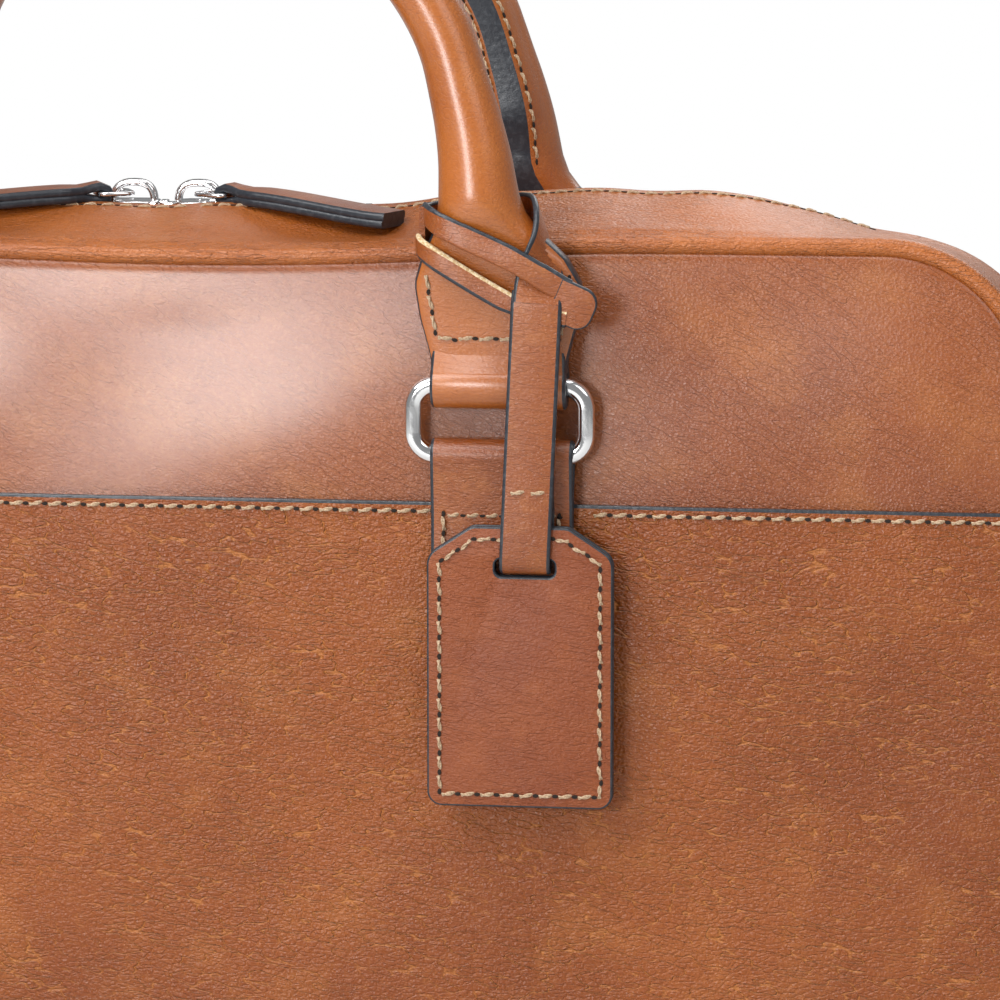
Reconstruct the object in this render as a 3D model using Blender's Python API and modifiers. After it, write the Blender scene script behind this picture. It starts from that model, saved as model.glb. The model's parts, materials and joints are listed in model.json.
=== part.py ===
"""A zip-top leather briefcase with two rolled handles, a luggage tag and a padded laptop sleeve.

Frame: metres, +Z up. The origin is the middle of the base's underside, +X runs along the bag's
width and -Y is the front. Every piece that comes apart on a bench is an object of its own.
"""

from math import acos, asin, atan, cos, pi, radians, sin, sqrt

import bmesh
import bpy
from mathutils import Matrix, Vector

# ---- Driving dimensions -------------------------------------------------------------------------
PANEL_WIDTH = 0.406  # front and back panels, seam to seam
SEAM_HEIGHT = 0.285  # top seam between a panel and the zip gusset
BASE_HALF_DEPTH = 0.0425  # half the bag's depth at the base
TOP_NARROWING = 0.0075  # how much a panel leans in between TAPER_FROM and the top seam
TAPER_FROM = 0.200
TOP_CORNER = 0.035  # corner radii of a panel, seen from the front
BASE_CORNER = 0.022
LEATHER = 0.0020
GAP = 0.0003  # left between pieces that touch
BASE_RISE = LEATHER + GAP  # the panels' outline starts above the base gusset
BASE_CORNER_Z = BASE_RISE + BASE_CORNER

SEAM_LAP = 0.2245  # height of the lower panel's painted top edge
LAP_WIDTH = 0.012  # how far the lower panel laps over the upper one

ZIP_RISE = 0.0030  # the zip stands this far above the top seams
ZIP_HALF_LENGTH = 0.160
FLAP_HALF_LENGTH = 0.165  # straight stretch of the zip gusset
FLAP_INNER_EDGE = 0.0072  # from the zip's middle to the gusset leather
TOOTH_PITCH = 0.0040
TOOTH_REACH = 0.0006  # from the zip's middle to the tip of a tooth

HANDLE_SPACING = 0.1586  # between the middles of a handle's two ends
HANDLE_TOP = 0.381  # centre of the grip at the top of its arch
GRIP_RADIUS = 0.0070
CORE_RADIUS = 0.0046
LEG_RADIUS = 0.0097  # where the roll meets its flat end
TAB_HALF_WIDTH = 0.0158  # flat end, where it folds round the ring
FLARE_HALF_WIDTH = 0.0200

RING_WIDTH = 0.0410  # centre line of the ring's wire
RING_HEIGHT = 0.0167
RING_WIRE = 0.0020
RING_BAR_Z = 0.2362  # lower bar
CHAPE_HALF_WIDTH = 0.0167
CHAPE_BOTTOM = 0.172
CHAPE_LEATHER = 0.0015
RING_PLAY = 0.0004  # between a ring's bar and the leather folded round it

TAG_WIDTH = 0.0445
TAG_HEIGHT = 0.0674
TAG_TOP = 0.2205
TAG_X = 0.0850
TAG_BACK = 0.0500  # distance of the tag's back from the bag's middle plane
TAG_LEAF = 0.0011
SLOT_Z = TAG_TOP - 0.0098
STRAP_X = 0.0862
STRAP_HALF_WIDTH = 0.0060
STRAP_LEATHER = 0.0014
STRAP_FRONT = 0.0551  # distance of the hanging strap's face from the bag's middle plane
STRAP_JOIN = 0.2285  # the strap is doubled below this height
CHOKE_Z = 0.2790  # where the strap leaves its slit
NOOSE_SLOPE = 0.365  # fall of the noose for each unit of its width
NOOSE_HALF_HEIGHT = 0.0055

PULL_YAW = radians(24)  # the pulls lie slantwise over the front half of the zip gusset
PULL_LENGTH = 0.047
PULL_HALF_WIDTH = 0.0055
NECK_HALF_WIDTH = 0.0027
LINK_LENGTH = 0.0080
LINK_WIRE = 0.0008
SLIDER_X = 0.0080  # each slider's middle, from the place where they meet
SLIDERS_MEET = -0.0085
SLIDER_TOP = SEAM_HEIGHT + ZIP_RISE + 0.0027

LEATHER_TAN = (0.47, 0.19, 0.06)
CHROME = (0.80, 0.81, 0.82)
LINING = (0.20, 0.16, 0.12)
TAPE = (0.03, 0.03, 0.035)

MERGE = 1e-5


# ---- Scene and mesh helpers ---------------------------------------------------------------------
def clear_scene():
    for thing in list(bpy.data.objects):
        bpy.data.objects.remove(thing, do_unlink=True)


def new_collection(name):
    collection = bpy.data.collections.new(name)
    bpy.context.scene.collection.children.link(collection)
    return collection


def new_material(name, colour, roughness, metallic=0.0):
    material = bpy.data.materials.new(name)
    material.use_nodes = True
    surface = material.node_tree.nodes["Principled BSDF"]
    surface.inputs["Base Color"].default_value = (*colour, 1.0)
    surface.inputs["Roughness"].default_value = roughness
    surface.inputs["Metallic"].default_value = metallic
    return material


clear_scene()
BAG = new_collection("leather_briefcase")
CUTTERS = new_collection("cutters")
TAN = new_material("tan_leather", LEATHER_TAN, 0.45)
PAINTED = new_material("painted_edge_leather", LEATHER_TAN, 0.45)
STEEL = new_material("polished_nickel", CHROME, 0.12, 1.0)
CLOTH = new_material("lining_cloth", LINING, 0.85)
BOARD = new_material("fibre_board", (0.30, 0.24, 0.17), 0.80)
ZIP_TAPE = new_material("zip_tape", TAPE, 0.80)
CARD = new_material("card", (0.85, 0.84, 0.80), 0.70)
FILM = new_material("clear_film", (0.75, 0.78, 0.80), 0.10)


def add_object(name, data, material, collection=None):
    thing = bpy.data.objects.new(name, data)
    (collection or BAG).objects.link(thing)
    data.materials.clear()
    data.materials.append(material)
    return thing


def shade_round(mesh, angle=radians(40)):
    mesh.shade_smooth()
    mesh.set_sharp_from_angle(angle=angle)


def mesh_from(build):
    """A mesh made by a function that fills a bmesh."""
    shape = bmesh.new()
    build(shape)
    mesh = bpy.data.meshes.new("shape")
    shape.to_mesh(mesh)
    shape.free()
    return mesh


def sheet(name, columns, rows, place, thickness, material, outward):
    """A curved sheet: a grid whose corners go where place(column, row) says, then Solidify.

    outward is a point on the sheet's outer side, which the thickness grows away from.
    """

    def build(shape):
        bmesh.ops.create_grid(shape, x_segments=columns, y_segments=rows, size=1.0)
        for vert in shape.verts:
            column = round((vert.co.x + 1) / 2 * columns)
            row = round((vert.co.y + 1) / 2 * rows)
            vert.co = place(column, row)
        shape.normal_update()
        shape.faces.ensure_lookup_table()
        middle = shape.faces[len(shape.faces) // 2]
        if middle.normal.dot(Vector(outward) - middle.calc_center_median()) < 0:
            bmesh.ops.reverse_faces(shape, faces=shape.faces)

    thing = add_object(name, mesh_from(build), material)
    shell = thing.modifiers.new("thickness", "SOLIDIFY")
    shell.thickness = thickness
    shell.offset = -1.0
    shade_round(thing.data)
    return thing


def loft_mesh(sections):
    """One closed mesh through a list of closed sections that have the same number of points."""

    def build(shape):
        loops = [[shape.verts.new(point) for point in section] for section in sections]
        count = len(loops[0])
        for first, second in zip(loops, loops[1:]):
            for k in range(count):
                following = (k + 1) % count
                shape.faces.new((first[k], first[following], second[following], second[k]))
        shape.faces.new(loops[0][::-1])
        shape.faces.new(loops[-1])
        bmesh.ops.recalc_face_normals(shape, faces=shape.faces)
        bmesh.ops.triangulate(shape, faces=[f for f in shape.faces if len(f.verts) > 4])

    return mesh_from(build)


def outline_curve(name, outlines, half_thickness, material, matrix, collection=None):
    """A flat shape: closed outlines in the XY plane of matrix, given thickness both ways."""
    curve = bpy.data.curves.new(name, "CURVE")
    curve.dimensions = "2D"
    curve.fill_mode = "BOTH"
    curve.extrude = half_thickness
    for outline in outlines:
        spline = curve.splines.new("POLY")
        spline.points.add(len(outline) - 1)
        for point, (x, y) in zip(spline.points, outline):
            point.co = (x, y, 0, 1)
        spline.use_cyclic_u = True
    thing = add_object(name, curve, material, collection)
    thing.matrix_world = matrix
    return thing


def wire_curve(name, points, radius, material, sides=8, cyclic=False, collection=None):
    """A round wire or tube along a list of points."""
    curve = bpy.data.curves.new(name, "CURVE")
    curve.dimensions = "3D"
    curve.bevel_depth = radius
    curve.bevel_resolution = max(0, sides // 2 - 2)
    curve.use_fill_caps = not cyclic
    spline = curve.splines.new("POLY")
    spline.points.add(len(points) - 1)
    for point, place in zip(spline.points, points):
        point.co = (*place, 1)
    spline.use_cyclic_u = cyclic
    return add_object(name, curve, material, collection)


def as_mesh(thing):
    """Turns a curve object into a welded mesh object of the same name and place."""
    graph = bpy.context.evaluated_depsgraph_get()
    mesh = bpy.data.meshes.new_from_object(thing.evaluated_get(graph))
    shape = bmesh.new()
    shape.from_mesh(mesh)
    bmesh.ops.remove_doubles(shape, verts=shape.verts, dist=MERGE)
    bmesh.ops.recalc_face_normals(shape, faces=shape.faces)
    shape.to_mesh(mesh)
    shape.free()
    name, matrix = thing.name, thing.matrix_world.copy()
    material, collection = thing.data.materials[0], thing.users_collection[0]
    bpy.data.objects.remove(thing, do_unlink=True)
    solid = add_object(name, mesh, material, collection)
    solid.matrix_world = matrix
    return solid


def combine(target, others, operation):
    """Boolean modifiers on target, one for each other object, which becomes a hidden helper."""
    for other in others:
        for collection in list(other.users_collection):
            collection.objects.unlink(other)
        CUTTERS.objects.link(other)
        other.hide_render = True
        other.display_type = "WIRE"
        change = target.modifiers.new(operation.lower(), "BOOLEAN")
        change.operation = operation
        change.solver = "EXACT"
        change.object = other
    return target


def block(name, low, high, material, collection=None):
    """A box between two corners."""
    low, high = Vector(low), Vector(high)

    def build(shape):
        bmesh.ops.create_cube(shape, size=1.0)
        for vert in shape.verts:
            vert.co = Vector(
                (low[k] + (vert.co[k] + 0.5) * (high[k] - low[k]) for k in range(3))
            )

    return add_object(name, mesh_from(build), material, collection)


def arc(centre, radius, start, end, steps):
    """Points on a flat arc, from one angle to another."""
    return [
        (
            centre[0] + radius * cos(start + (end - start) * k / steps),
            centre[1] + radius * sin(start + (end - start) * k / steps),
        )
        for k in range(steps + 1)
    ]


def rounded_box(width, height, radius, steps=4):
    """Outline of a rectangle with round corners, centred on the origin."""
    outline = []
    corners = ((1, 1, 0), (-1, 1, 1), (-1, -1, 2), (1, -1, 3))
    for side_x, side_y, quarter in corners:
        centre = (side_x * (width / 2 - radius), side_y * (height / 2 - radius))
        outline += arc(centre, radius, quarter * pi / 2, (quarter + 1) * pi / 2, steps)
    return outline


# ---- The bag's outer form -----------------------------------------------------------------------
def half_depth(z):
    """Distance from the middle plane to a panel's outer face at height z."""
    share = max(0.0, (z - TAPER_FROM) / (SEAM_HEIGHT - TAPER_FROM))
    return BASE_HALF_DEPTH - TOP_NARROWING * share**2


def half_width(z, inset):
    """Half the panel outline's width at height z, with the outline drawn in by inset."""
    half = PANEL_WIDTH / 2 - inset
    top, base = SEAM_HEIGHT - TOP_CORNER, BASE_CORNER_Z
    if z > top:
        radius, reach = TOP_CORNER - inset, z - top
    elif z < base:
        radius, reach = BASE_CORNER - inset, base - z
    else:
        return half
    return half - radius + sqrt(max(0.0, radius**2 - reach**2))


def straight_levels(low, high):
    """Heights between the corners, close together where the panels lean in."""
    middle = SEAM_HEIGHT - TOP_CORNER
    levels = (BASE_CORNER_Z, 0.110, TAPER_FROM, 0.213, SEAM_LAP, 0.2405, middle)
    inner = [z for z in levels if low < z < high]
    return [low] * (low > BASE_CORNER_Z) + inner + [high] * (high < middle)


def heights(low, high, inset, corner_rows=5):
    """Heights of a panel's grid rows, close together where the outline turns a corner."""
    top, base = SEAM_HEIGHT - TOP_CORNER, BASE_CORNER_Z
    lowest, highest = max(low, BASE_RISE + inset), min(high, SEAM_HEIGHT - inset)
    rows = []
    if lowest < base:
        radius = BASE_CORNER - inset
        turn = acos((base - lowest) / radius)
        rows += [
            base - radius * cos(turn + (pi / 2 - turn) * k / corner_rows)
            for k in range(corner_rows)
        ]
    rows += straight_levels(lowest, highest)
    if highest > top:
        radius = TOP_CORNER - inset
        turn = asin(min(1.0, (highest - top) / radius))
        rows += [top + radius * sin(turn * k / corner_rows) for k in range(1, corner_rows + 1)]
    return rows


def panel(name, side, low, high, stand_off, thickness, material, inset=0.0, columns=6):
    """A sheet that follows the front (side -1) or back (side 1) face between two heights.

    stand_off is the distance of its outer face outside the panel face.
    """
    levels = heights(low, high, inset)

    def place(column, row):
        z = levels[row]
        x = half_width(z, inset) * (2 * column / columns - 1)
        return Vector((x, side * (half_depth(z) + stand_off), z))

    outward = (0, side * 1.0, SEAM_HEIGHT / 2)
    return sheet(name, columns, len(levels) - 1, place, thickness, material, outward)


def roof(y):
    """Height of the zip gusset's outer face at distance y from the middle plane."""
    share = min(1.0, abs(y) / half_depth(SEAM_HEIGHT))
    return SEAM_HEIGHT + ZIP_RISE * (1 - share**1.6)


def side_stations(inset):
    """Points down one side of the outline, from the zip gusset round both corners to the base.

    Each is (x, z, x and z of the outward direction, crown), for the side at +X.
    """
    half = PANEL_WIDTH / 2
    top, base = SEAM_HEIGHT - TOP_CORNER, BASE_CORNER_Z
    stations = [(FLAP_HALF_LENGTH + GAP, SEAM_HEIGHT - inset, 0.0, 1.0, ZIP_RISE)]
    corner_steps = 5
    for k in range(corner_steps + 1):
        turn = pi / 2 * k / corner_steps
        x = half - TOP_CORNER + (TOP_CORNER - inset) * sin(turn)
        z = top + (TOP_CORNER - inset) * cos(turn)
        crown = 0.002 + (ZIP_RISE - 0.002) * cos(turn)
        stations.append((x, z, sin(turn), cos(turn), crown))
    for z in straight_levels(0.0, top)[::-1]:
        stations.append((half - inset, z, 1.0, 0.0, 0.002 * (z - base) / (top - base)))
    for k in range(1, corner_steps + 1):
        turn = pi / 2 * k / corner_steps
        x = half - BASE_CORNER + (BASE_CORNER - inset) * cos(turn)
        z = base - (BASE_CORNER - inset) * sin(turn)
        stations.append((x, z, cos(turn), -sin(turn), 0.0))
    return stations


def gusset_side(name, side, inset, edge_inset, thickness, material):
    """The strip down one side (-1 left, 1 right), between the two panels."""
    stations = side_stations(inset)
    columns = 4

    def place(column, row):
        x, z, out_x, out_z, crown = stations[row]
        across = 2 * column / columns - 1
        rise = crown * (1 - abs(across) ** 1.6)
        depth = half_depth(min(z, SEAM_HEIGHT)) - edge_inset
        return Vector((side * (x + out_x * rise), across * depth, z + out_z * rise))

    return sheet(name, columns, len(stations) - 1, place, thickness, material, (side, 0, 0.12))


# ---- Shell, boards and lining -------------------------------------------------------------------
def make_shell():
    outer = -(LEATHER + GAP)  # the side gussets lie outside the panels' outline
    for side, word in ((-1, "front"), (1, "back")):
        panel(f"{word}_upper_panel", side, SEAM_LAP - LAP_WIDTH, SEAM_HEIGHT, 0, LEATHER, TAN)
        panel(f"{word}_lower_panel", side, 0, SEAM_LAP, LEATHER + GAP, LEATHER, PAINTED)
        depth = LEATHER + GAP
        panel(f"{word}_board", side, 0, SEAM_HEIGHT, -depth, 0.0012, BOARD, 0.004, 4)
        depth += 0.0012 + GAP
        panel(f"{word}_lining", side, 0, SEAM_HEIGHT, -depth, 0.0010, CLOTH, 0.002, 4)
    for side, word in ((-1, "left"), (1, "right")):
        gusset_side(f"side_gusset_{word}", side, outer, -0.0018, LEATHER, TAN)
    reach = PANEL_WIDTH / 2 - BASE_CORNER - 2 * GAP
    depth = BASE_HALF_DEPTH + 0.0018
    block("base_gusset", (-reach, -depth, 0), (reach, depth, LEATHER), TAN)
    inner, floor = BASE_HALF_DEPTH - 0.0060, BASE_RISE + GAP
    block("base_board", (-reach, -inner, floor), (reach, inner, floor + 0.0020), BOARD)


def make_lining_band():
    """The lining round the inside of the gussets, in one strip, open at the top."""
    inset = 0.0030
    right = side_stations(inset)
    left = [(-x, z, -out_x, out_z, crown) for x, z, out_x, out_z, crown in right]
    stations = right + left[::-1]

    def place(column, row):
        x, z, _, _, _ = stations[row]
        across = column - 1
        return Vector((x, across * (half_depth(z) - 0.0054), z))

    sheet("gusset_lining", 2, len(stations) - 1, place, 0.0010, CLOTH, (0.3, 0, -1.0))


def make_inside():
    """The padded sleeve that holds a computer, its closing strap, and the organiser pocket."""
    outline_curve(
        "laptop_divider",
        [rounded_box(0.350, 0.210, 0.020)],
        0.0040,
        CLOTH,
        Matrix.Translation((0, 0.0120, 0.1160)) @ Matrix.Rotation(pi / 2, 4, "X"),
    )
    strap_y, strap_top = 0.0080 - GAP, 0.2245
    reach = half_depth(strap_top) - 0.0054
    profile = [
        (strap_y - 0.0015, 0.150),
        (strap_y, 0.150),
        (strap_y, strap_top - 0.0015),
        (reach, strap_top - 0.0015),
        (reach, strap_top),
        (strap_y - 0.0015, strap_top),
    ]
    turn = Matrix(((0, 0, 1, 0), (1, 0, 0, 0), (0, 1, 0, 0), (0, 0, 0, 1)))
    outline_curve("laptop_strap", [profile], 0.0200, CLOTH, turn)
    front = half_depth(0.1) - 0.0054
    block("organiser_pocket", (-0.130, -front, 0.040), (0.130, -front + 0.0030, 0.165), CLOTH)


# ---- Zip ----------------------------------------------------------------------------------------
def make_zip_half(side, word):
    """One half of the zip gusset: leather, tape and a row of teeth, hinged on the top seam."""
    seam = half_depth(SEAM_HEIGHT)

    def along_roof(y_from, y_to, drop, columns):
        def place(column, row):
            y = y_from + (y_to - y_from) * column / columns
            x = FLAP_HALF_LENGTH * (row - 1)
            return Vector((x, side * y, roof(y) - drop))

        return place

    sky = (0, 0, 1.0)
    reach = seam + 0.0015
    edge = along_roof(reach, FLAP_INNER_EDGE, -(LEATHER + GAP), 6)
    sheet(f"{word}_zip_gusset", 6, 2, edge, LEATHER, TAN, sky)
    tape = along_roof(0.0160, 0.0037, 0.0003, 2)
    sheet(f"{word}_zip_tape", 2, 2, tape, 0.0006, ZIP_TAPE, sky)

    spine, root, tip = 0.0034, 0.0022, TOOTH_REACH
    outline = [(ZIP_HALF_LENGTH, side * spine), (-ZIP_HALF_LENGTH, side * spine)]
    count = round(2 * ZIP_HALF_LENGTH / TOOTH_PITCH)
    start = -ZIP_HALF_LENGTH
    half_pitch = TOOTH_PITCH / 2
    stagger = half_pitch / 2 if side < 0 else -half_pitch / 2
    outline.append((start, side * root))
    for k in range(count):
        x = start + TOOTH_PITCH * (k + 0.5) + stagger
        width = TOOTH_PITCH / 4 - 0.0001
        outline += [
            (x - width, side * root),
            (x - width, side * tip),
            (x + width, side * tip),
            (x + width, side * root),
        ]
    outline.append((-start, side * root))
    level = SEAM_HEIGHT + ZIP_RISE
    half = 0.0013
    teeth = Matrix.Translation((0, 0, level))
    outline_curve(f"{word}_zip_teeth", [outline], half, STEEL, teeth)


def make_slider(side, word):
    """A slider (side -1 left, 1 right): two plates joined by a post, and a bridge for the pull."""
    x, top = SLIDERS_MEET + side * SLIDER_X, SLIDER_TOP
    half_length, half_width_, plate, base = 0.0058, 0.0052, 0.0011, top - 0.0054
    low, high = (x - half_length, -half_width_), (x + half_length, half_width_)
    body = block(f"zip_slider_{word}", (*low, top - plate), (*high, top), STEEL)
    nose = x - side * 0.0040
    post_low, post_high = (nose - 0.0015, -0.0003), (nose + 0.0015, 0.0003)
    post = block("post", (*post_low, base + 0.0005), (*post_high, top - 0.0005), STEEL)
    under = block("under", (*low, base), (*high, base + plate), STEEL)
    outer = [(0.0055 * cos(pi * k / 8), 0.0054 * sin(pi * k / 8)) for k in range(9)]
    inner = [(0.0041 * cos(pi * k / 8), 0.0042 * sin(pi * k / 8)) for k in range(8, -1, -1)]
    upright = Matrix.Translation((x, 0, top - 0.0003)) @ Matrix.Rotation(pi / 2, 4, "X")
    bridge = as_mesh(outline_curve("bridge", [outer + inner], 0.0014, STEEL, upright))
    return combine(body, [post, under, bridge], "UNION")


def pull_frame(side, distance):
    """A frame on a pull's line: X along the pull, Z up, at a distance from the slider's bridge."""
    along = Vector((side * cos(PULL_YAW), -sin(PULL_YAW), 0))
    up = Vector((0, 0, 1))
    bar = SLIDERS_MEET + side * (SLIDER_X + 0.0012)
    start = Vector((bar, 0, SLIDER_TOP + 0.0018))
    turn = Matrix((along, up.cross(along), up)).transposed().to_4x4()
    return Matrix.Translation(start + along * distance) @ turn


def make_pull(side, word):
    """The wire link in the slider's bridge, and the leather pull whose neck the link runs through."""
    width = 2 * (NECK_HALF_WIDTH + 0.0006 + LINK_WIRE)
    place = pull_frame(side, LINK_LENGTH / 2)
    outline = rounded_box(LINK_LENGTH, width, 0.0014, 2)
    loop = [place @ Vector((x, y, 0)) for x, y in outline]
    wire_curve(f"pull_link_{word}", loop, LINK_WIRE, STEEL, 6, cyclic=True)
    neck, half, end = NECK_HALF_WIDTH, PULL_HALF_WIDTH, PULL_LENGTH
    upper = arc((0, 0), neck, pi, pi / 2, 4) + [(0.0040, neck), (0.0075, half)]
    upper += arc((end - 0.0030, half - 0.0030), 0.0030, pi / 2, 0, 3)
    outline = upper + [(x, -y) for x, y in upper[::-1]][:-1]
    far = pull_frame(side, LINK_LENGTH)
    tab = as_mesh(outline_curve(f"pull_tab_{word}", [outline], 0.0022, PAINTED, far))
    tunnel = Matrix.Rotation(pi / 2, 4, "X")
    circle = [(0.0012 * cos(pi * k / 4), 0.0012 * sin(pi * k / 4)) for k in range(8)]
    hole = as_mesh(outline_curve("tunnel", [circle], 0.0080, PAINTED, far @ tunnel))
    combine(tab, [hole], "DIFFERENCE")


# ---- Handles, rings and their chapes ------------------------------------------------------------
def ring_depth():
    """Distance of the rings' plane from the bag's middle plane."""
    return half_depth(RING_BAR_Z) + GAP + CHAPE_LEATHER + RING_PLAY + RING_WIRE


def bar_hole(centre=(0, 0)):
    """The hole that leather folded round a ring's bar leaves for it."""
    return arc(centre, RING_WIRE + RING_PLAY, 0, 2 * pi * 11 / 12, 11)


def side_frame(side, x, y, z):
    """A frame whose X is the outward direction of one face, Y is up, and Z runs across the bag."""
    out = Vector((0, side, 0))
    up = Vector((0, 0, 1))
    return Matrix.Translation((x, y, z)) @ Matrix((out, up, out.cross(up))).transposed().to_4x4()


def make_ring(name, side, x):
    """A rounded oblong ring of heavy wire that joins a handle's end to its chape."""
    y = side * ring_depth()
    outline = rounded_box(RING_WIDTH, RING_HEIGHT + 0.0004, 0.0052, 4)
    middle = RING_BAR_Z + RING_HEIGHT / 2
    points = [Vector((x + across, y, middle + up)) for across, up in outline]
    wire_curve(name, points, RING_WIRE, STEEL, 8, cyclic=True)


def make_chape(name, side, x):
    """The short strap folded round the ring's lower bar and stitched down over both panels."""
    depth = ring_depth()
    outer = RING_WIRE + RING_PLAY + CHAPE_LEATHER
    lap = half_depth(SEAM_LAP) + LEATHER + 2 * GAP - depth
    face = half_depth(TAPER_FROM) + LEATHER + 2 * GAP - depth
    double = 2 * CHAPE_LEATHER
    bend, level, end = (z - RING_BAR_Z for z in (SEAM_LAP + 0.0006, TAPER_FROM, CHAPE_BOTTOM))
    outline = arc((0, 0), outer, -0.20 * pi, 1.10 * pi, 12)
    outline += [(lap, bend), (face, level), (face, end)]
    outline += [(face + double, end), (face + double, level), (lap + double, bend)]
    frame = side_frame(side, x, side * depth, RING_BAR_Z)
    outline_curve(name, [outline, bar_hole()], CHAPE_HALF_WIDTH, PAINTED, frame)


def handle_line(side):
    """Centre line of one handle's roll, from its left leg over the arch to its right leg.

    Each point is (place, radius, how far the cross-section leans from the vertical plane).
    """
    half = HANDLE_SPACING / 2
    legs = [
        (half - 0.0048, 0.2955, 0.0000),
        (half - 0.0066, 0.3080, 0.0004),
        (half - 0.0097, 0.3210, 0.0012),
        (half - 0.0150, 0.3370, 0.0026),
        (half - 0.0250, 0.3520, 0.0040),
        (half - 0.0400, 0.3670, 0.0053),
        (half - 0.0590, HANDLE_TOP - 0.0035, 0.0062),
    ]
    depth = ring_depth()
    right = [Vector((x, side * (depth - lean), z)) for x, z, lean in legs]
    crown = [Vector((0, side * (depth - 0.0065), HANDLE_TOP))]
    left = [Vector((-p.x, p.y, p.z)) for p in right]
    return left + crown + right[::-1]


def section_frame(points, k, side):
    """Sideways and outward directions of the cross-section at point k of a handle's line."""
    before, after = points[max(0, k - 1)], points[min(len(points) - 1, k + 1)]
    along = (after - before).normalized()
    outward = Vector((0, side, 0))
    outward = (outward - along * outward.dot(along)).normalized()
    return along.cross(outward), outward


def roll_radius(z):
    """Outer radius of the roll: even over the arch, and thicker down its legs."""
    share = max(0.0, min(1.0, (0.330 - z) / (0.330 - 0.2955)))
    return GRIP_RADIUS + (LEG_RADIUS - GRIP_RADIUS) * share**1.3


def make_handle(side, word):
    """A rolled leather handle: the cover, slit along its inner side, and the core it is rolled on."""
    line = handle_line(side)
    slit, outer_steps, inner_steps = radians(4), 10, 8
    sections = []
    for k, centre in enumerate(line):
        sideways, outward = section_frame(line, k, side)
        radius = roll_radius(centre.z)
        hollow = (CORE_RADIUS + GAP) / cos(pi / inner_steps)
        section = []
        for step in range(outer_steps + 1):
            angle = slit + (2 * pi - 2 * slit) * step / outer_steps
            section.append(centre - outward * radius * cos(angle) + sideways * radius * sin(angle))
        for step in range(inner_steps, -1, -1):
            angle = 1.4 * slit + (2 * pi - 2.8 * slit) * step / inner_steps
            section.append(centre - outward * hollow * cos(angle) + sideways * hollow * sin(angle))
        sections.append(section)
    cover = add_object(f"{word}_handle_cover", loft_mesh(sections), PAINTED)
    ends = [part for x in (-1, 1) for part in make_handle_end(side, x)]
    combine(cover, ends, "UNION")
    core = line[1:-1]
    core = [line[0].lerp(line[1], 0.5)] + core + [line[-1].lerp(line[-2], 0.5)]
    wire_curve(f"{word}_handle_core", core, CORE_RADIUS, CLOTH, 8)


def handle_end_levels():
    """Cross-sections of a handle's flat end: height, middle, half width and half thickness."""
    half = HANDLE_SPACING / 2
    return [
        (0.2985, half - 0.0051, LEG_RADIUS - 0.0005, LEG_RADIUS - 0.0005),
        (0.2900, half - 0.0032, 0.0118, 0.0074),
        (0.2835, half - 0.0012, 0.0170, 0.0053),
        (0.2770, half, FLARE_HALF_WIDTH, 0.0042),
        (0.2690, half, 0.0190, 0.0034),
        (0.2600, half, TAB_HALF_WIDTH + 0.0006, 0.0032),
    ]


def squared(value, power):
    """A sine or cosine raised to a power that keeps its sign, which squares off an ellipse."""
    return abs(value) ** power * (1 if value >= 0 else -1)


def make_handle_end(side, x_side):
    """The flat end of a handle's cover: it flares from the roll, then folds round the ring."""
    depth = ring_depth()
    sections = []
    for z, x, wide, thick in handle_end_levels():
        centre = Vector((x_side * x, side * depth, z))
        power = 0.75 if thick < 0.006 else 1.0
        ring = []
        for k in range(14):
            across, out = cos(2 * pi * k / 14), sin(2 * pi * k / 14)
            corner = (wide * squared(across, power), thick * squared(out, power), 0)
            ring.append(centre + Vector(corner))
        sections.append(ring)
    flare = add_object("flare", loft_mesh(sections), PAINTED)
    outer, tail_half = RING_WIRE + RING_PLAY + 0.0032, 0.0031
    loop = arc((0, 0), outer, -1.20 * pi, 0.20 * pi, 12)
    loop += [(tail_half, 0.0105), (-tail_half, 0.0105)]
    frame = side_frame(side, x_side * HANDLE_SPACING / 2, side * depth, RING_BAR_Z + RING_HEIGHT)
    fold = as_mesh(outline_curve("fold", [loop, bar_hole()], TAB_HALF_WIDTH, PAINTED, frame))
    return flare, fold


# ---- Luggage tag --------------------------------------------------------------------------------
def tag_outline():
    """The tag from the front: square at the base, with sloping shoulders."""
    half, top, base = TAG_WIDTH / 2, TAG_TOP, TAG_TOP - TAG_HEIGHT
    right = arc((half - 0.003, base + 0.003), 0.003, -pi / 2, 0, 3)
    right += [(half, top - 0.0075), (half - 0.0010, top - 0.0058), (half - 0.0105, top)]
    return right + [(-x, z) for x, z in right[::-1]]


def tag_window(width, height):
    """Outline of a round-cornered oblong in the middle of the tag's lower part."""
    return [(x, z + TAG_TOP - 0.0420) for x, z in rounded_box(width, height, 0.002, 2)]


def tag_piece(name, outlines, back, thickness, material):
    """A flat piece of the tag, whose back lies at a distance behind the tag's own."""
    y = -(TAG_BACK + back + thickness / 2)
    frame = Matrix.Translation((TAG_X, y, 0)) @ Matrix.Rotation(pi / 2, 4, "X")
    outline_curve(name, outlines, thickness / 2, material, frame)


def make_tag():
    """Two stitched leaves with an address card between them, seen through a window behind."""
    outline = tag_outline()
    slot = [(x + STRAP_X - TAG_X, z + SLOT_Z) for x, z in rounded_box(0.0142, 0.0042, 0.0015, 2)]
    tag_piece("tag_back_leaf", [outline, slot, tag_window(0.030, 0.034)], 0, TAG_LEAF, PAINTED)
    tag_piece("tag_window", [tag_window(0.034, 0.038)], TAG_LEAF + GAP, 0.0002, FILM)
    tag_piece("address_card", [tag_window(0.035, 0.039)], TAG_LEAF + 0.0008, 0.0002, CARD)
    tag_piece("tag_front_leaf", [outline, slot], TAG_LEAF + 0.0013, TAG_LEAF, PAINTED)


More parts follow.
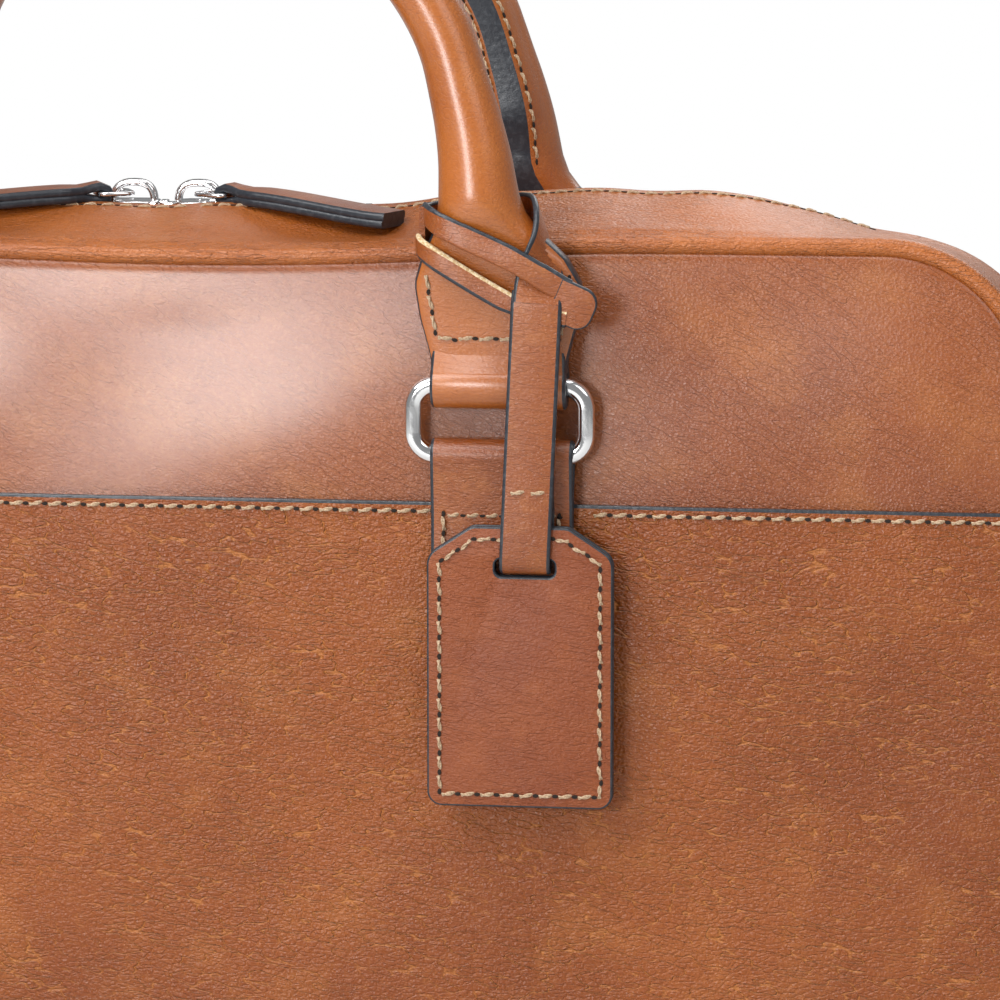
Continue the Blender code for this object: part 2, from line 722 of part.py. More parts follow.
def make_tag_strap():
    """The strap that hangs from the noose, doubled where it passes through the tag."""
    face, back, tag_back = STRAP_FRONT, STRAP_FRONT - STRAP_LEATHER, TAG_BACK - GAP
    outline = [
        (face, CHOKE_Z - 0.0060),
        (face - 0.0016, CHOKE_Z + 0.0005),
        (back - 0.0012, CHOKE_Z + 0.0002),
        (back, CHOKE_Z - 0.0060),
        (back, STRAP_JOIN),
        (back - 0.0004, STRAP_JOIN + 0.0010),
        (back - STRAP_LEATHER, STRAP_JOIN),
        (tag_back - STRAP_LEATHER, SLOT_Z + 0.0125),
        (tag_back - STRAP_LEATHER, SLOT_Z - 0.0012),
        (tag_back - STRAP_LEATHER + 0.0008, SLOT_Z - 0.0019),
        (face - 0.0008, SLOT_Z - 0.0019),
        (face, SLOT_Z - 0.0010),
    ]
    eye = [
        (back, SLOT_Z + 0.0155),
        (tag_back, SLOT_Z + 0.0118),
        (tag_back, SLOT_Z - 0.0001),
        (back, SLOT_Z - 0.0001),
    ]
    frame = side_frame(-1, STRAP_X, 0, 0)
    outline_curve("tag_strap", [outline, eye], STRAP_HALF_WIDTH, PAINTED, frame)


def leg_section(z):
    """Middle, half width and half thickness of a handle's end at any height."""
    levels = handle_end_levels()[::-1]
    for low, high in zip(levels, levels[1:]):
        if z <= high[0]:
            share = (z - low[0]) / (high[0] - low[0])
            return [a + (b - a) * share for a, b in zip(low[1:], high[1:])]
    return levels[-1][1:]


def make_noose():
    """The strap's slit end, choked slantwise round the leg, with its round tip to the right."""
    steps, rows, clear = 20, 3, 0.0007
    depth, half = ring_depth(), HANDLE_SPACING / 2
    middle_z = CHOKE_Z + NOOSE_SLOPE * (STRAP_X - half)

    def ring(offset, loose):
        loops = []
        for row in range(rows + 1):
            rise = NOOSE_HALF_HEIGHT * (2 * row / rows - 1)
            loop = []
            for k in range(steps):
                across = squared(cos(2 * pi * k / steps), 0.8)
                out = squared(sin(2 * pi * k / steps), 0.8)
                z = middle_z - NOOSE_SLOPE * 0.0180 * across + rise
                x, wide, thick = leg_section(z)
                reach = (wide + offset + loose * abs(across)) * across
                loop.append(Vector((x + reach, -depth - (thick + offset) * out, z)))
            loops.append(loop)
        return loops

    outer = ring(clear + STRAP_LEATHER, 0.0010)
    inner = ring(clear, 0.0010)

    def build(shape):
        skins = []
        for loops in (outer, inner):
            skins.append([[shape.verts.new(point) for point in loop] for loop in loops])
        faces = []
        for k in range(steps):
            following = (k + 1) % steps
            for loops in skins:
                for low, high in zip(loops, loops[1:]):
                    faces.append((low[k], low[following], high[following], high[k]))
            for row in (0, rows):
                first, second = skins[0][row], skins[1][row]
                faces.append((first[k], first[following], second[following], second[k]))
        for face in faces:
            shape.faces.new(face)
        bmesh.ops.recalc_face_normals(shape, faces=shape.faces)

    band = add_object("tag_strap_noose", mesh_from(build), PAINTED)
    tip = rounded_box(0.0180, 2 * NOOSE_HALF_HEIGHT, 0.0054, 4)
    place = Matrix.Translation((half + 0.0160, -depth - 0.0060, CHOKE_Z - 0.0033))
    place = place @ Matrix.Rotation(atan(NOOSE_SLOPE), 4, "Y")
    place = place @ Matrix.Rotation(pi / 2, 4, "X")
    tongue = as_mesh(outline_curve("tongue", [tip], STRAP_LEATHER / 2, PAINTED, place))
    combine(band, [tongue], "UNION")


# ---- Joints -------------------------------------------------------------------------------------
def pivot(name, place, pieces):
    """An empty on a joint's axis that carries the pieces which move about it."""
    empty = bpy.data.objects.new(name, None)
    BAG.objects.link(empty)
    empty.location = place
    for piece in pieces:
        child = bpy.data.objects[piece]
        child.parent = empty
        child.matrix_parent_inverse = Matrix.Translation(-Vector(place))


def make_pivots():
    """Empties on the axes of the handles, rings, mouth, sliders, pulls, hanging strap and tag."""
    depth = ring_depth()
    for side, word in ((-1, "front"), (1, "back")):
        rings = [f"handle_ring_{word}_left", f"handle_ring_{word}_right"]
        pivot(f"{word}_ring_pivot", (0, side * depth, RING_BAR_Z), rings)
        handle = [f"{word}_handle_cover", f"{word}_handle_core"]
        handle += ["tag_strap_noose"] * (side < 0)
        pivot(f"{word}_handle_pivot", (0, side * depth, RING_BAR_Z + RING_HEIGHT), handle)
        flap = [f"{word}_zip_gusset", f"{word}_zip_tape", f"{word}_zip_teeth"]
        pivot(f"{word}_mouth_pivot", (0, side * half_depth(SEAM_HEIGHT), SEAM_HEIGHT), flap)
    for side, word in ((-1, "left"), (1, "right")):
        slider = (SLIDERS_MEET + side * SLIDER_X, 0, SLIDER_TOP)
        pivot(f"{word}_slider_pivot", slider, [f"zip_slider_{word}"])
        pivot(f"{word}_link_pivot", pull_frame(side, 0).translation, [f"pull_link_{word}"])
        pivot(f"{word}_pull_pivot", pull_frame(side, LINK_LENGTH).translation, [f"pull_tab_{word}"])
    pivot("hanging_strap_pivot", (STRAP_X, -0.0525, CHOKE_Z), ["tag_strap"])
    tag = ["tag_front_leaf", "tag_back_leaf", "tag_window", "address_card"]
    pivot("tag_pivot", (STRAP_X, -0.0512, 0.2320), tag)


# ---- Build --------------------------------------------------------------------------------------
make_shell()
make_lining_band()
make_inside()
for face_side, face_word in ((-1, "front"), (1, "back")):
    make_zip_half(face_side, face_word)
    make_handle(face_side, face_word)
    for end_side, end_word in ((-1, "left"), (1, "right")):
        end_x = end_side * HANDLE_SPACING / 2
        make_ring(f"handle_ring_{face_word}_{end_word}", face_side, end_x)
        make_chape(f"chape_{face_word}_{end_word}", face_side, end_x)
for zip_side, zip_word in ((-1, "left"), (1, "right")):
    make_slider(zip_side, zip_word)
    make_pull(zip_side, zip_word)
make_tag()
make_tag_strap()
make_noose()
make_pivots()
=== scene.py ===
"""The finished look of a zip-top leather briefcase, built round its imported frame.

Frame: metres, +Z up, origin in the middle of the base's underside, -Y is the front and +X is the right
seen from the front. Sizes of the body are in BagForm, and each other class holds its own pieces' sizes.
"""

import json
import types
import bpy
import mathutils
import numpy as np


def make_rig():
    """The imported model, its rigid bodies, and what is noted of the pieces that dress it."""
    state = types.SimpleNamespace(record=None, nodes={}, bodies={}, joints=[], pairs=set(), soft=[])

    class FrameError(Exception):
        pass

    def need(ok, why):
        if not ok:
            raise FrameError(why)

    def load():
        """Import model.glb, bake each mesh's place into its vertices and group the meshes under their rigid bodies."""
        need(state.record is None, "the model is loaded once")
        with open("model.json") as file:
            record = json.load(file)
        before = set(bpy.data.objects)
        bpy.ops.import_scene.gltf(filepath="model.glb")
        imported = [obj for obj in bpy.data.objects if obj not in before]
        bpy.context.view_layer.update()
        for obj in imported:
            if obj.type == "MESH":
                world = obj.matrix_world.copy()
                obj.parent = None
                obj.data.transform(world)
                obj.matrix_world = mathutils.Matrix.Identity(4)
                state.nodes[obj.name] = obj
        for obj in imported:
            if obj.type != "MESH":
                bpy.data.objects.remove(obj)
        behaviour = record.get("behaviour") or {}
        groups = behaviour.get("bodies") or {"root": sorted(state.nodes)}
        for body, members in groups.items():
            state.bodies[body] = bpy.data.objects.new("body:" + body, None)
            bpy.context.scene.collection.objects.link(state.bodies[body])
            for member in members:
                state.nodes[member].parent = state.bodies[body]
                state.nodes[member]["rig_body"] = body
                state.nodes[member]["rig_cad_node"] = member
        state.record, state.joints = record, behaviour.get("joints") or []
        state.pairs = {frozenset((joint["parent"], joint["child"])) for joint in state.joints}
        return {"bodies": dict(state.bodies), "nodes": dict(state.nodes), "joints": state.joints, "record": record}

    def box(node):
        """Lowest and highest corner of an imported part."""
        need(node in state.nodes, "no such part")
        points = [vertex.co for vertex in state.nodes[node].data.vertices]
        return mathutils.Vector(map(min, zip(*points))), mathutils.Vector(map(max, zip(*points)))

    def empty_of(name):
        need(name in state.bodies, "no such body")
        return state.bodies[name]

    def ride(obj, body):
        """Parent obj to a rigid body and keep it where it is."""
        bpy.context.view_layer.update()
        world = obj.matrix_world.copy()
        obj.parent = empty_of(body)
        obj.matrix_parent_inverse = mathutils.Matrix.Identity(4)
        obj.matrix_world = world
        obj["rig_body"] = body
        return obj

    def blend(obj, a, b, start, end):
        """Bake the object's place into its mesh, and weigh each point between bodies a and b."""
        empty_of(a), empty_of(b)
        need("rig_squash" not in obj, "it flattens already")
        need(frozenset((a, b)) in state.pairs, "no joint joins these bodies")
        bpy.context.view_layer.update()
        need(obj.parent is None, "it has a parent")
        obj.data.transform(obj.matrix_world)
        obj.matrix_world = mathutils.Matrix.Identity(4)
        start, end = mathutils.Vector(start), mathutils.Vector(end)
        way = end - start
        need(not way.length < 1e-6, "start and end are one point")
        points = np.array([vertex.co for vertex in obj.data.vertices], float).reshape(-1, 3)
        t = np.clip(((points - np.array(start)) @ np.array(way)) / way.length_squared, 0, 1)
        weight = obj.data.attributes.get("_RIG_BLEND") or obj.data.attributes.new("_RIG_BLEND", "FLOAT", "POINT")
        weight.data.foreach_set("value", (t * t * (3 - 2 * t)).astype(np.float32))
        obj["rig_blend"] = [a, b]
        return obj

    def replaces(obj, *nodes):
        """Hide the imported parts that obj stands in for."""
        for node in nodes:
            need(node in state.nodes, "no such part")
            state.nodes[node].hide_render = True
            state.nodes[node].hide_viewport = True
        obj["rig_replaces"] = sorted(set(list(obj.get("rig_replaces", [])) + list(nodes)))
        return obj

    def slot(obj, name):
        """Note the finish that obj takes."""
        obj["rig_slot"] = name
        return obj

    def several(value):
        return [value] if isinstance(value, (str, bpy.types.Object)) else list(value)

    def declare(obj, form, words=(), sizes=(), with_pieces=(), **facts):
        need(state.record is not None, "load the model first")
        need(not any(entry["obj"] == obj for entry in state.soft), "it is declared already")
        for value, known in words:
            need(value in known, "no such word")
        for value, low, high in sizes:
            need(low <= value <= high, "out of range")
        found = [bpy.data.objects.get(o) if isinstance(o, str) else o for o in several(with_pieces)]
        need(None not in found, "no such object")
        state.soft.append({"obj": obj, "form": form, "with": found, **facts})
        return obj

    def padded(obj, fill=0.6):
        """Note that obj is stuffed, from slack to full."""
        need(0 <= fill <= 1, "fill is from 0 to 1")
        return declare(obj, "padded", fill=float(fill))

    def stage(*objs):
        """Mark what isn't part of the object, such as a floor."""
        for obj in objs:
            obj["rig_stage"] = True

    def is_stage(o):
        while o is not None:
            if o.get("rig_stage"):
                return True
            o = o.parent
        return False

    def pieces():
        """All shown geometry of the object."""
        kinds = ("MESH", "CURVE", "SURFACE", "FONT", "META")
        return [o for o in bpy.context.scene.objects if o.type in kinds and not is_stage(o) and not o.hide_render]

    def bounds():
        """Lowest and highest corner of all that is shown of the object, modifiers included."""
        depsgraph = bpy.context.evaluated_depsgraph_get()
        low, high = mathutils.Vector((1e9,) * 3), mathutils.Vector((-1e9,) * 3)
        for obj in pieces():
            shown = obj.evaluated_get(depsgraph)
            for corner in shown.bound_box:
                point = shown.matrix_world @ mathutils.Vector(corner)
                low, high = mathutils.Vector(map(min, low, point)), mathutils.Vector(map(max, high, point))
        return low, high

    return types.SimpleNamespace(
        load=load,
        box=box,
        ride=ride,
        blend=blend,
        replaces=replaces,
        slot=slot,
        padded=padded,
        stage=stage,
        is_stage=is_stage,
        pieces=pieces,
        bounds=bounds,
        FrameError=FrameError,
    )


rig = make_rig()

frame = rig.load()

import json
import logging
from collections.abc import Callable, Sequence
from dataclasses import dataclass, field
from enum import Enum
from math import cos, pi, radians, sin

import bmesh
import bpy
import numpy as np
from mathutils import Matrix, Vector

LOG = logging.getLogger("briefcase")
Colour = tuple[float, float, float]
Point = tuple[float, float, float]
WORD = {-1: "front", 1: "back"}
HAND = {-1: "left", 1: "right"}
MIX_FIRST, MIX_SECOND, MIX_RESULT = 6, 7, 2
STITCH_PITCH = 0.0047
STITCH_SLANT = radians(10)
PROUD = 0.0001


# ---- Shader helpers -----------------------------------------------------------------------------
class Value:
    """A number inside a material's node tree, which takes part in Python sums."""

    def __init__(self, tree: bpy.types.NodeTree, socket: bpy.types.NodeSocket) -> None:
        """Wraps one output socket.

        Args:
            tree: the tree that the socket belongs to.
            socket: an output that holds a number.
        """
        self.tree = tree
        self.socket = socket

    def math(self, operation: str, *others: "Value | float", clamp: bool = False) -> "Value":
        """Adds a Math node.

        Args:
            operation: the Math node's operation.
            others: its second and third inputs.
            clamp: keeps the result between 0 and 1.

        Returns:
            The node's result.
        """
        node = self.tree.nodes.new("ShaderNodeMath")
        node.operation = operation
        node.use_clamp = clamp
        for k, term in enumerate((self, *others)):
            if isinstance(term, Value):
                self.tree.links.new(term.socket, node.inputs[k])
            else:
                node.inputs[k].default_value = term
        return Value(self.tree, node.outputs[0])

    def __add__(self, other: "Value | float") -> "Value":
        """Sum."""
        return self.math("ADD", other)

    __radd__ = __add__

    def __mul__(self, other: "Value | float") -> "Value":
        """Product."""
        return self.math("MULTIPLY", other)

    __rmul__ = __mul__

    def __sub__(self, other: "Value | float") -> "Value":
        """Difference."""
        return self.math("SUBTRACT", other)

    def __rsub__(self, other: float) -> "Value":
        """Difference from a number."""
        return self.math("MULTIPLY", -1.0).math("ADD", other)

    def step(self, low: float, high: float) -> "Value":
        """A soft step that rises from 0 at low to 1 at high.

        Args:
            low: the value that gives 0.
            high: the value that gives 1.

        Returns:
            The stepped value.
        """
        node = self.tree.nodes.new("ShaderNodeMapRange")
        node.interpolation_type = "SMOOTHSTEP"
        self.tree.links.new(self.socket, node.inputs["Value"])
        node.inputs["From Min"].default_value = low
        node.inputs["From Max"].default_value = high
        return Value(self.tree, node.outputs["Result"])


class Recipe:
    """A material while its nodes are being laid."""

    def __init__(self, name: str) -> None:
        """Starts a material of that name with one Principled shader.

        Args:
            name: the material's name.
        """
        self.material = bpy.data.materials.new(name)
        self.material.use_nodes = True
        self.tree = self.material.node_tree
        self.shader = self.tree.nodes["Principled BSDF"]
        self.place = self.node("ShaderNodeTexCoord").outputs["Object"]

    def node(self, kind: str, settings: dict | None = None, **sockets: object) -> bpy.types.Node:
        """Adds a node.

        Args:
            kind: its type name.
            settings: properties set before its sockets.
            sockets: values or links, by socket name with _ for a space.

        Returns:
            The node.
        """
        made = self.tree.nodes.new(kind)
        for key, value in (settings or {}).items():
            setattr(made, key, value)
        for key, value in sockets.items():
            self.feed(made.inputs[key.replace("_", " ")], value)
        return made

    def feed(self, socket: bpy.types.NodeSocket, value: object) -> None:
        """Links a value to a socket, or sets the socket to it.

        Args:
            socket: the input to fill.
            value: an expression, an output socket or a constant.
        """
        if isinstance(value, Value):
            self.tree.links.new(value.socket, socket)
        elif isinstance(value, bpy.types.NodeSocket):
            self.tree.links.new(value, socket)
        else:
            socket.default_value = value

    def mapped(self, scale: Point, turn: Point = (0, 0, 0)) -> bpy.types.NodeSocket:
        """The piece's own coordinates, turned and then scaled.

        Args:
            scale: stretch along each axis.
            turn: rotation before the stretch.

        Returns:
            The coordinates.
        """
        turned = self.node("ShaderNodeMapping", {"vector_type": "POINT"}, Vector=self.place, Rotation=turn)
        stretched = self.node("ShaderNodeMapping", None, Vector=turned.outputs[0], Scale=scale)
        return stretched.outputs[0]

    def noise(self, vector: object, scale: float, detail: float = 2.0) -> Value:
        """Smooth noise about 0.5."""
        made = self.node("ShaderNodeTexNoise", None, Vector=vector, Scale=scale, Detail=detail)
        return Value(self.tree, made.outputs["Fac"])

    def warped(self, vector: object, scale: float, reach: float) -> bpy.types.NodeSocket:
        """Coordinates pushed about by noise, so that a regular pattern loses its regularity.

        Args:
            vector: coordinates to read.
            scale: scale of the noise.
            reach: largest push.

        Returns:
            The coordinates.
        """
        wind = self.node("ShaderNodeTexNoise", None, Vector=vector, Scale=scale, Detail=2.0)
        push = self.node("ShaderNodeVectorMath", {"operation": "SCALE"}, Scale=reach)
        self.tree.links.new(wind.outputs["Color"], push.inputs[0])
        total = self.node("ShaderNodeVectorMath", {"operation": "ADD"})
        self.feed(total.inputs[0], vector)
        self.feed(total.inputs[1], push.outputs[0])
        return total.outputs[0]

    def cells(self, vector: object, scale: float, feature: str = "F1") -> Value:
        """Distance to a Voronoi cell's point (F1) or to its border (DISTANCE_TO_EDGE)."""
        made = self.node("ShaderNodeTexVoronoi", {"feature": feature}, Vector=vector, Scale=scale)
        return Value(self.tree, made.outputs["Distance"])

    def bands(self, vector: object, scale: float, axis: str) -> Value:
        """Even sine bands across one axis.

        Args:
            vector: coordinates to read.
            scale: how many of its features fit in a metre.
            axis: the axis that the bands cross.

        Returns:
            A value from 0 to 1.
        """
        made = self.node(
            "ShaderNodeTexWave", {"wave_type": "BANDS", "bands_direction": axis}, Vector=vector, Scale=scale
        )
        return Value(self.tree, made.outputs["Fac"])

    def mix(self, factor: object, first: object, second: object) -> bpy.types.NodeSocket:
        """A colour between two others.

        Args:
            factor: 0 gives the first colour and 1 the second.
            first: the first colour.
            second: the second colour.

        Returns:
            The mixed colour.
        """
        made = self.node("ShaderNodeMix", {"data_type": "RGBA"})
        self.feed(made.inputs["Factor"], factor)
        self.feed(made.inputs[MIX_FIRST], rgba(first))
        self.feed(made.inputs[MIX_SECOND], rgba(second))
        return made.outputs[MIX_RESULT]

    def bump(self, height: Value, distance: float, normal: object = None) -> bpy.types.NodeSocket:
        """A Bump node on that height, on top of another normal if one is given.

        Args:
            height: the height from 0 to 1.
            distance: how deep the height reaches.
            normal: a normal to start from.

        Returns:
            The bent normal.
        """
        made = self.node("ShaderNodeBump", None, Height=height, Distance=distance, Strength=1.0)
        if normal is not None:
            self.feed(made.inputs["Normal"], normal)
        return made.outputs[0]

    def finish(self, **sockets: object) -> bpy.types.Material:
        """Feeds the shader's sockets and returns the material.

        Args:
            sockets: values by socket name, with _ for a space.

        Returns:
            The material.
        """
        for key, value in sockets.items():
            self.feed(self.shader.inputs[key.replace("_", " ")], rgba(value) if "Color" in key else value)
        return self.material


def rgba(value: object) -> object:
    """A three-number colour with its fourth number; anything else unchanged."""
    return (*value, 1.0) if isinstance(value, tuple) and len(value) == 3 else value


# ---- Finishes -----------------------------------------------------------------------------------
class Crease(Enum):
    """How the skin's creases are tinted: pale ones take the light tone, as pulled-up leather does, and dark ones take
    the dark tone, which is painted shade in the creases.
    """

    PALE = "pale"
    # The dark crease tint is painted shade.
    PAINTED_SHADE = "dark"


@dataclass(frozen=True)
class Leather:
    """Aniline-dyed cowhide: cloudy colour, fine pores and creases that run one way."""

    name: str
    dark: Colour = (0.185, 0.038, 0.005)
    middle: Colour = (0.275, 0.066, 0.008)
    light: Colour = (0.560, 0.210, 0.045)
    crease: Crease = Crease.PALE
    crease_length: float = 0.0095
    crease_gap: float = 0.0030
    crease_turn: float = radians(-9)
    crease_depth: float = 0.00030
    crease_share: float = 0.85
    pore_size: float = 0.00075
    pore_depth: float = 0.00016
    roughness: float = 0.35
    cloud: float = 14.0
    tint_share: float = 0.42
    sheen: float = 0.08
    sheen_roughness: float = 0.36

    def make(self) -> bpy.types.Material:
        """Builds the material.

        Returns:
            The material.
        """
        r = Recipe(self.name)
        broad = r.noise(r.place, self.cloud, 3.0)
        patches = r.noise(r.place, self.cloud * 4.5, 4.0)
        speckle = r.noise(r.place, 900.0, 2.0)
        tone = r.mix(broad.step(0.30, 0.62) * 0.7 + 0.3, self.dark, self.middle)
        tone = r.mix(patches.step(0.46, 0.80) * 0.20, tone, self.light)
        tone = r.mix(speckle.step(0.48, 0.75) * 0.10, tone, self.light)
        tone = r.mix(speckle.step(0.50, 0.28) * 0.12, tone, self.dark)

        scale = (1 / self.crease_length, 1 / self.crease_gap, 1 / self.crease_gap)
        lengthwise = r.warped(r.mapped(scale, (0, self.crease_turn, 0)), 0.5, 0.6)
        line = (r.noise(lengthwise, 1.0, 1.0) - 0.5).math("ABSOLUTE").step(0.026, 0.0)
        fine_scale = (3.4 / self.crease_length, 2.6 / self.crease_gap, 2.6 / self.crease_gap)
        fine_place = r.warped(r.mapped(fine_scale, (0, self.crease_turn * 0.4, 0)), 0.8, 0.9)
        fine = 1.0 - r.cells(fine_place, 1.0, "DISTANCE_TO_EDGE").step(0.0, 0.20)
        share = self.crease_share
        worn = r.noise(r.place, 36.0, 2.0).step(0.62 - 0.5 * share, 0.80 - 0.3 * share)
        line = line * worn
        fine = fine * (0.35 + worn * 0.65) * share
        furrow = line + fine * 0.65
        pit = r.noise(r.place, 1100.0, 1.0).step(0.56, 0.70)
        # Pale creases take the tone of pulled-up leather; the dark crease tint is painted shade in the creases.
        tint = self.light if self.crease is Crease.PALE else self.dark
        tone = r.mix((line + fine * 0.12) * self.tint_share, tone, tint)
        tone = r.mix(pit * 0.18, tone, self.dark)

        pores = r.cells(r.warped(r.place, 400.0, 0.0006), 1 / self.pore_size)
        coarse = r.bump(1.0 - furrow, self.crease_depth)
        normal = r.bump(pores, self.pore_depth, coarse)
        rough = self.roughness + (broad - 0.5) * 0.18 + line * 0.10 + (speckle - 0.5) * 0.12
        wax = {"Coat_Weight": self.sheen, "Coat_Roughness": self.sheen_roughness}
        return r.finish(Base_Color=tone, Roughness=rough, Normal=normal, Specular_IOR_Level=0.40, **wax)


@dataclass(frozen=True)
class EdgePaint:
    """Thick dark paint on a cut edge."""

    name: str = "edge_paint"
    colour: Colour = (0.022, 0.026, 0.034)

    def make(self) -> bpy.types.Material:
        """Builds the material.

        Returns:
            The material.
        """
        r = Recipe(self.name)
        film = r.noise(r.place, 700.0, 2.0)
        tone = r.mix(film.step(0.45, 0.75) * 0.5, self.colour, (0.060, 0.068, 0.080))
        normal = r.bump(film, 0.00010)
        return r.finish(Base_Color=tone, Roughness=0.34 + (film - 0.5) * 0.2, Normal=normal)


@dataclass(frozen=True)
class RawEdge:
    """The pale fibres of an unpainted cut edge."""

    name: str = "raw_edge"

    def make(self) -> bpy.types.Material:
        """Builds the material.

        Returns:
            The material.
        """
        r = Recipe(self.name)
        fibre = r.noise(r.place, 1500.0, 3.0)
        tone = r.mix(fibre.step(0.35, 0.70), (0.50, 0.33, 0.16), (0.80, 0.66, 0.44))
        return r.finish(Base_Color=tone, Roughness=0.85, Normal=r.bump(fibre, 0.00015))


@dataclass(frozen=True)
class Thread:
    """Waxed two-strand thread."""

    name: str = "thread"
    colour: Colour = (0.56, 0.41, 0.27)

    def make(self) -> bpy.types.Material:
        """Builds the material.

        Returns:
            The material.
        """
        r = Recipe(self.name)
        fibre = r.noise(r.mapped((1, 1, 1), (0.3, 0.4, 0.2)), 2600.0, 2.0)
        tone = r.mix(fibre.step(0.30, 0.70), (0.36, 0.24, 0.14), self.colour)
        return r.finish(Base_Color=tone, Roughness=0.62, Normal=r.bump(fibre, 0.00008))


@dataclass(frozen=True)
class Plain:
    """An even colour with slight noise, such as a pale card, or the near-black painted shade of the needle holes
    between stitches.
    """

    name: str
    colour: Colour
    roughness: float = 0.9

    def make(self) -> bpy.types.Material:
        """Builds the material.

        Returns:
            The material.
        """
        r = Recipe(self.name)
        shade = r.noise(r.place, 300.0, 2.0)
        darker = tuple(0.55 * c for c in self.colour)
        return r.finish(Base_Color=r.mix(shade, darker, self.colour), Roughness=self.roughness)


@dataclass(frozen=True)
class Nickel:
    """Polished nickel plate with fine handling marks."""

    name: str = "nickel_plate"
    colour: Colour = (0.86, 0.86, 0.87)
    roughness: float = 0.10

    def make(self) -> bpy.types.Material:
        """Builds the material.

        Returns:
            The material.
        """
        r = Recipe(self.name)
        haze = r.noise(r.place, 260.0, 3.0)
        marks = r.noise(r.mapped((900, 900, 60), (0.2, 0.5, 0.3)), 1.0, 2.0)
        tone = r.mix(haze.step(0.4, 0.7) * 0.35, self.colour, (0.70, 0.70, 0.71))
        rough = self.roughness + haze.step(0.4, 0.8) * 0.07 + marks.step(0.55, 0.75) * 0.06
        return r.finish(Base_Color=tone, Roughness=rough, Metallic=1.0, Normal=r.bump(marks, 0.000006))


@dataclass(frozen=True)
class Twill:
    """Woven cloth with a slanting rib."""

    name: str
    colour: Colour = (0.130, 0.095, 0.066)
    pitch: float = 0.0011

    def make(self) -> bpy.types.Material:
        """Builds the material.

        Returns:
            The material.
        """
        r = Recipe(self.name)
        slant = r.mapped((1, 1, 1), (radians(40), radians(40), 0))
        rib = r.bands(slant, 0.32 / self.pitch, "X")
        yarn = r.bands(r.mapped((1, 1, 1)), 0.6 / self.pitch, "Z")
        fluff = r.noise(r.place, 1400.0, 3.0)
        pale = tuple(min(1.0, 1.9 * c) for c in self.colour)
        tone = r.mix(rib * 0.5 + fluff * 0.4, self.colour, pale)
        normal = r.bump(rib * 0.7 + yarn * 0.3 + fluff * 0.3, 0.00020)
        return r.finish(Base_Color=tone, Roughness=0.88, Normal=normal, Sheen_Weight=0.2)


@dataclass(frozen=True)
class Board:
    """Pressed fibre board."""

    name: str = "fibre_board"

    def make(self) -> bpy.types.Material:
        """Builds the material.

        Returns:
            The material.
        """
        r = Recipe(self.name)
        fibre = r.noise(r.mapped((60, 300, 300)), 1.0, 4.0)
        tone = r.mix(fibre, (0.17, 0.12, 0.07), (0.34, 0.26, 0.17))
        return r.finish(Base_Color=tone, Roughness=0.85, Normal=r.bump(fibre, 0.0002))


@dataclass(frozen=True)
class Film:
    """Clear film over the address card."""

    name: str = "clear_film"

    def make(self) -> bpy.types.Material:
        """Builds the material.

        Returns:
            The material.
        """
        r = Recipe(self.name)
        smear = r.noise(r.place, 120.0, 2.0)
        alpha = 0.16 + smear * 0.10
        return r.finish(Base_Color=(0.90, 0.93, 0.95), Roughness=0.08 + smear * 0.10, Alpha=alpha)


@dataclass(frozen=True)
class Finishes:
    """Every material of the bag, made once."""

    yoke: bpy.types.Material
    body: bpy.types.Material
    gusset: bpy.types.Material
    roll: bpy.types.Material
    strap: bpy.types.Material
    tag: bpy.types.Material
    paint: bpy.types.Material
    raw: bpy.types.Material
    thread: bpy.types.Material
    hole: bpy.types.Material
    nickel: bpy.types.Material
    lining: bpy.types.Material
    tape: bpy.types.Material
    board: bpy.types.Material
    card: bpy.types.Material
    film: bpy.types.Material

    @staticmethod
    def make() -> "Finishes":
        """Makes the materials.

        Returns:
            All the finishes.
        """
        # Smooth leathers get the dark crease tint: painted shade in their creases.
        smooth = {"crease": Crease.PAINTED_SHADE, "crease_length": 0.0085, "crease_gap": 0.0018, "tint_share": 0.07}
        warm = {"dark": (0.260, 0.060, 0.008), "middle": (0.420, 0.115, 0.014)}
        red = {"dark": (0.185, 0.037, 0.008), "middle": (0.250, 0.058, 0.011), "light": (0.40, 0.120, 0.030)}
        yoke = Leather(
            "yoke_leather", crease_turn=radians(-28), crease_depth=0.00014, pore_depth=0.00013,
            sheen=0.8, sheen_roughness=0.24, **smooth,
        )
        gusset = Leather(
            "gusset_leather", crease_turn=radians(-3), crease_depth=0.00024, sheen=0.35, **smooth, **warm
        )
        roll = Leather(
            "handle_leather", crease_depth=0.00005, pore_depth=0.00006, cloud=20.0,
            sheen=1.0, sheen_roughness=0.27, **smooth, **warm,
        )
        strap = Leather(
            "strap_leather", crease_depth=0.00010, pore_depth=0.00008, cloud=30.0, sheen=0.5, **smooth
        )
        tag = Leather(
            "tag_leather", crease_depth=0.00012, pore_depth=0.00010, cloud=30.0,
            roughness=0.48, sheen=0.1, **smooth, **red,
        )
        return Finishes(
            yoke=yoke.make(),
            body=Leather("body_leather").make(),
            gusset=gusset.make(),
            roll=roll.make(),
            strap=strap.make(),
            tag=tag.make(),
            paint=EdgePaint().make(),
            raw=RawEdge().make(),
            thread=Thread().make(),
            # Near-black colour of the discs between stitches: painted shade in the needle holes.
            hole=Plain("needle_hole", (0.018, 0.010, 0.006)).make(),
            nickel=Nickel().make(),
            lining=Twill("lining_twill").make(),
            tape=Twill("zip_tape", (0.012, 0.012, 0.015), 0.0006).make(),
            board=Board().make(),
            card=Plain("address_card", (0.82, 0.80, 0.74), 0.7).make(),
            film=Film().make(),
        )


# ---- Mesh helpers -------------------------------------------------------------------------------
def smoothstep(value: np.ndarray | float, low: float, high: float) -> np.ndarray | float:
    """A soft step that rises from 0 at low to 1 at high."""
    share = np.clip((value - low) / (high - low), 0.0, 1.0)
    return share * share * (3 - 2 * share)


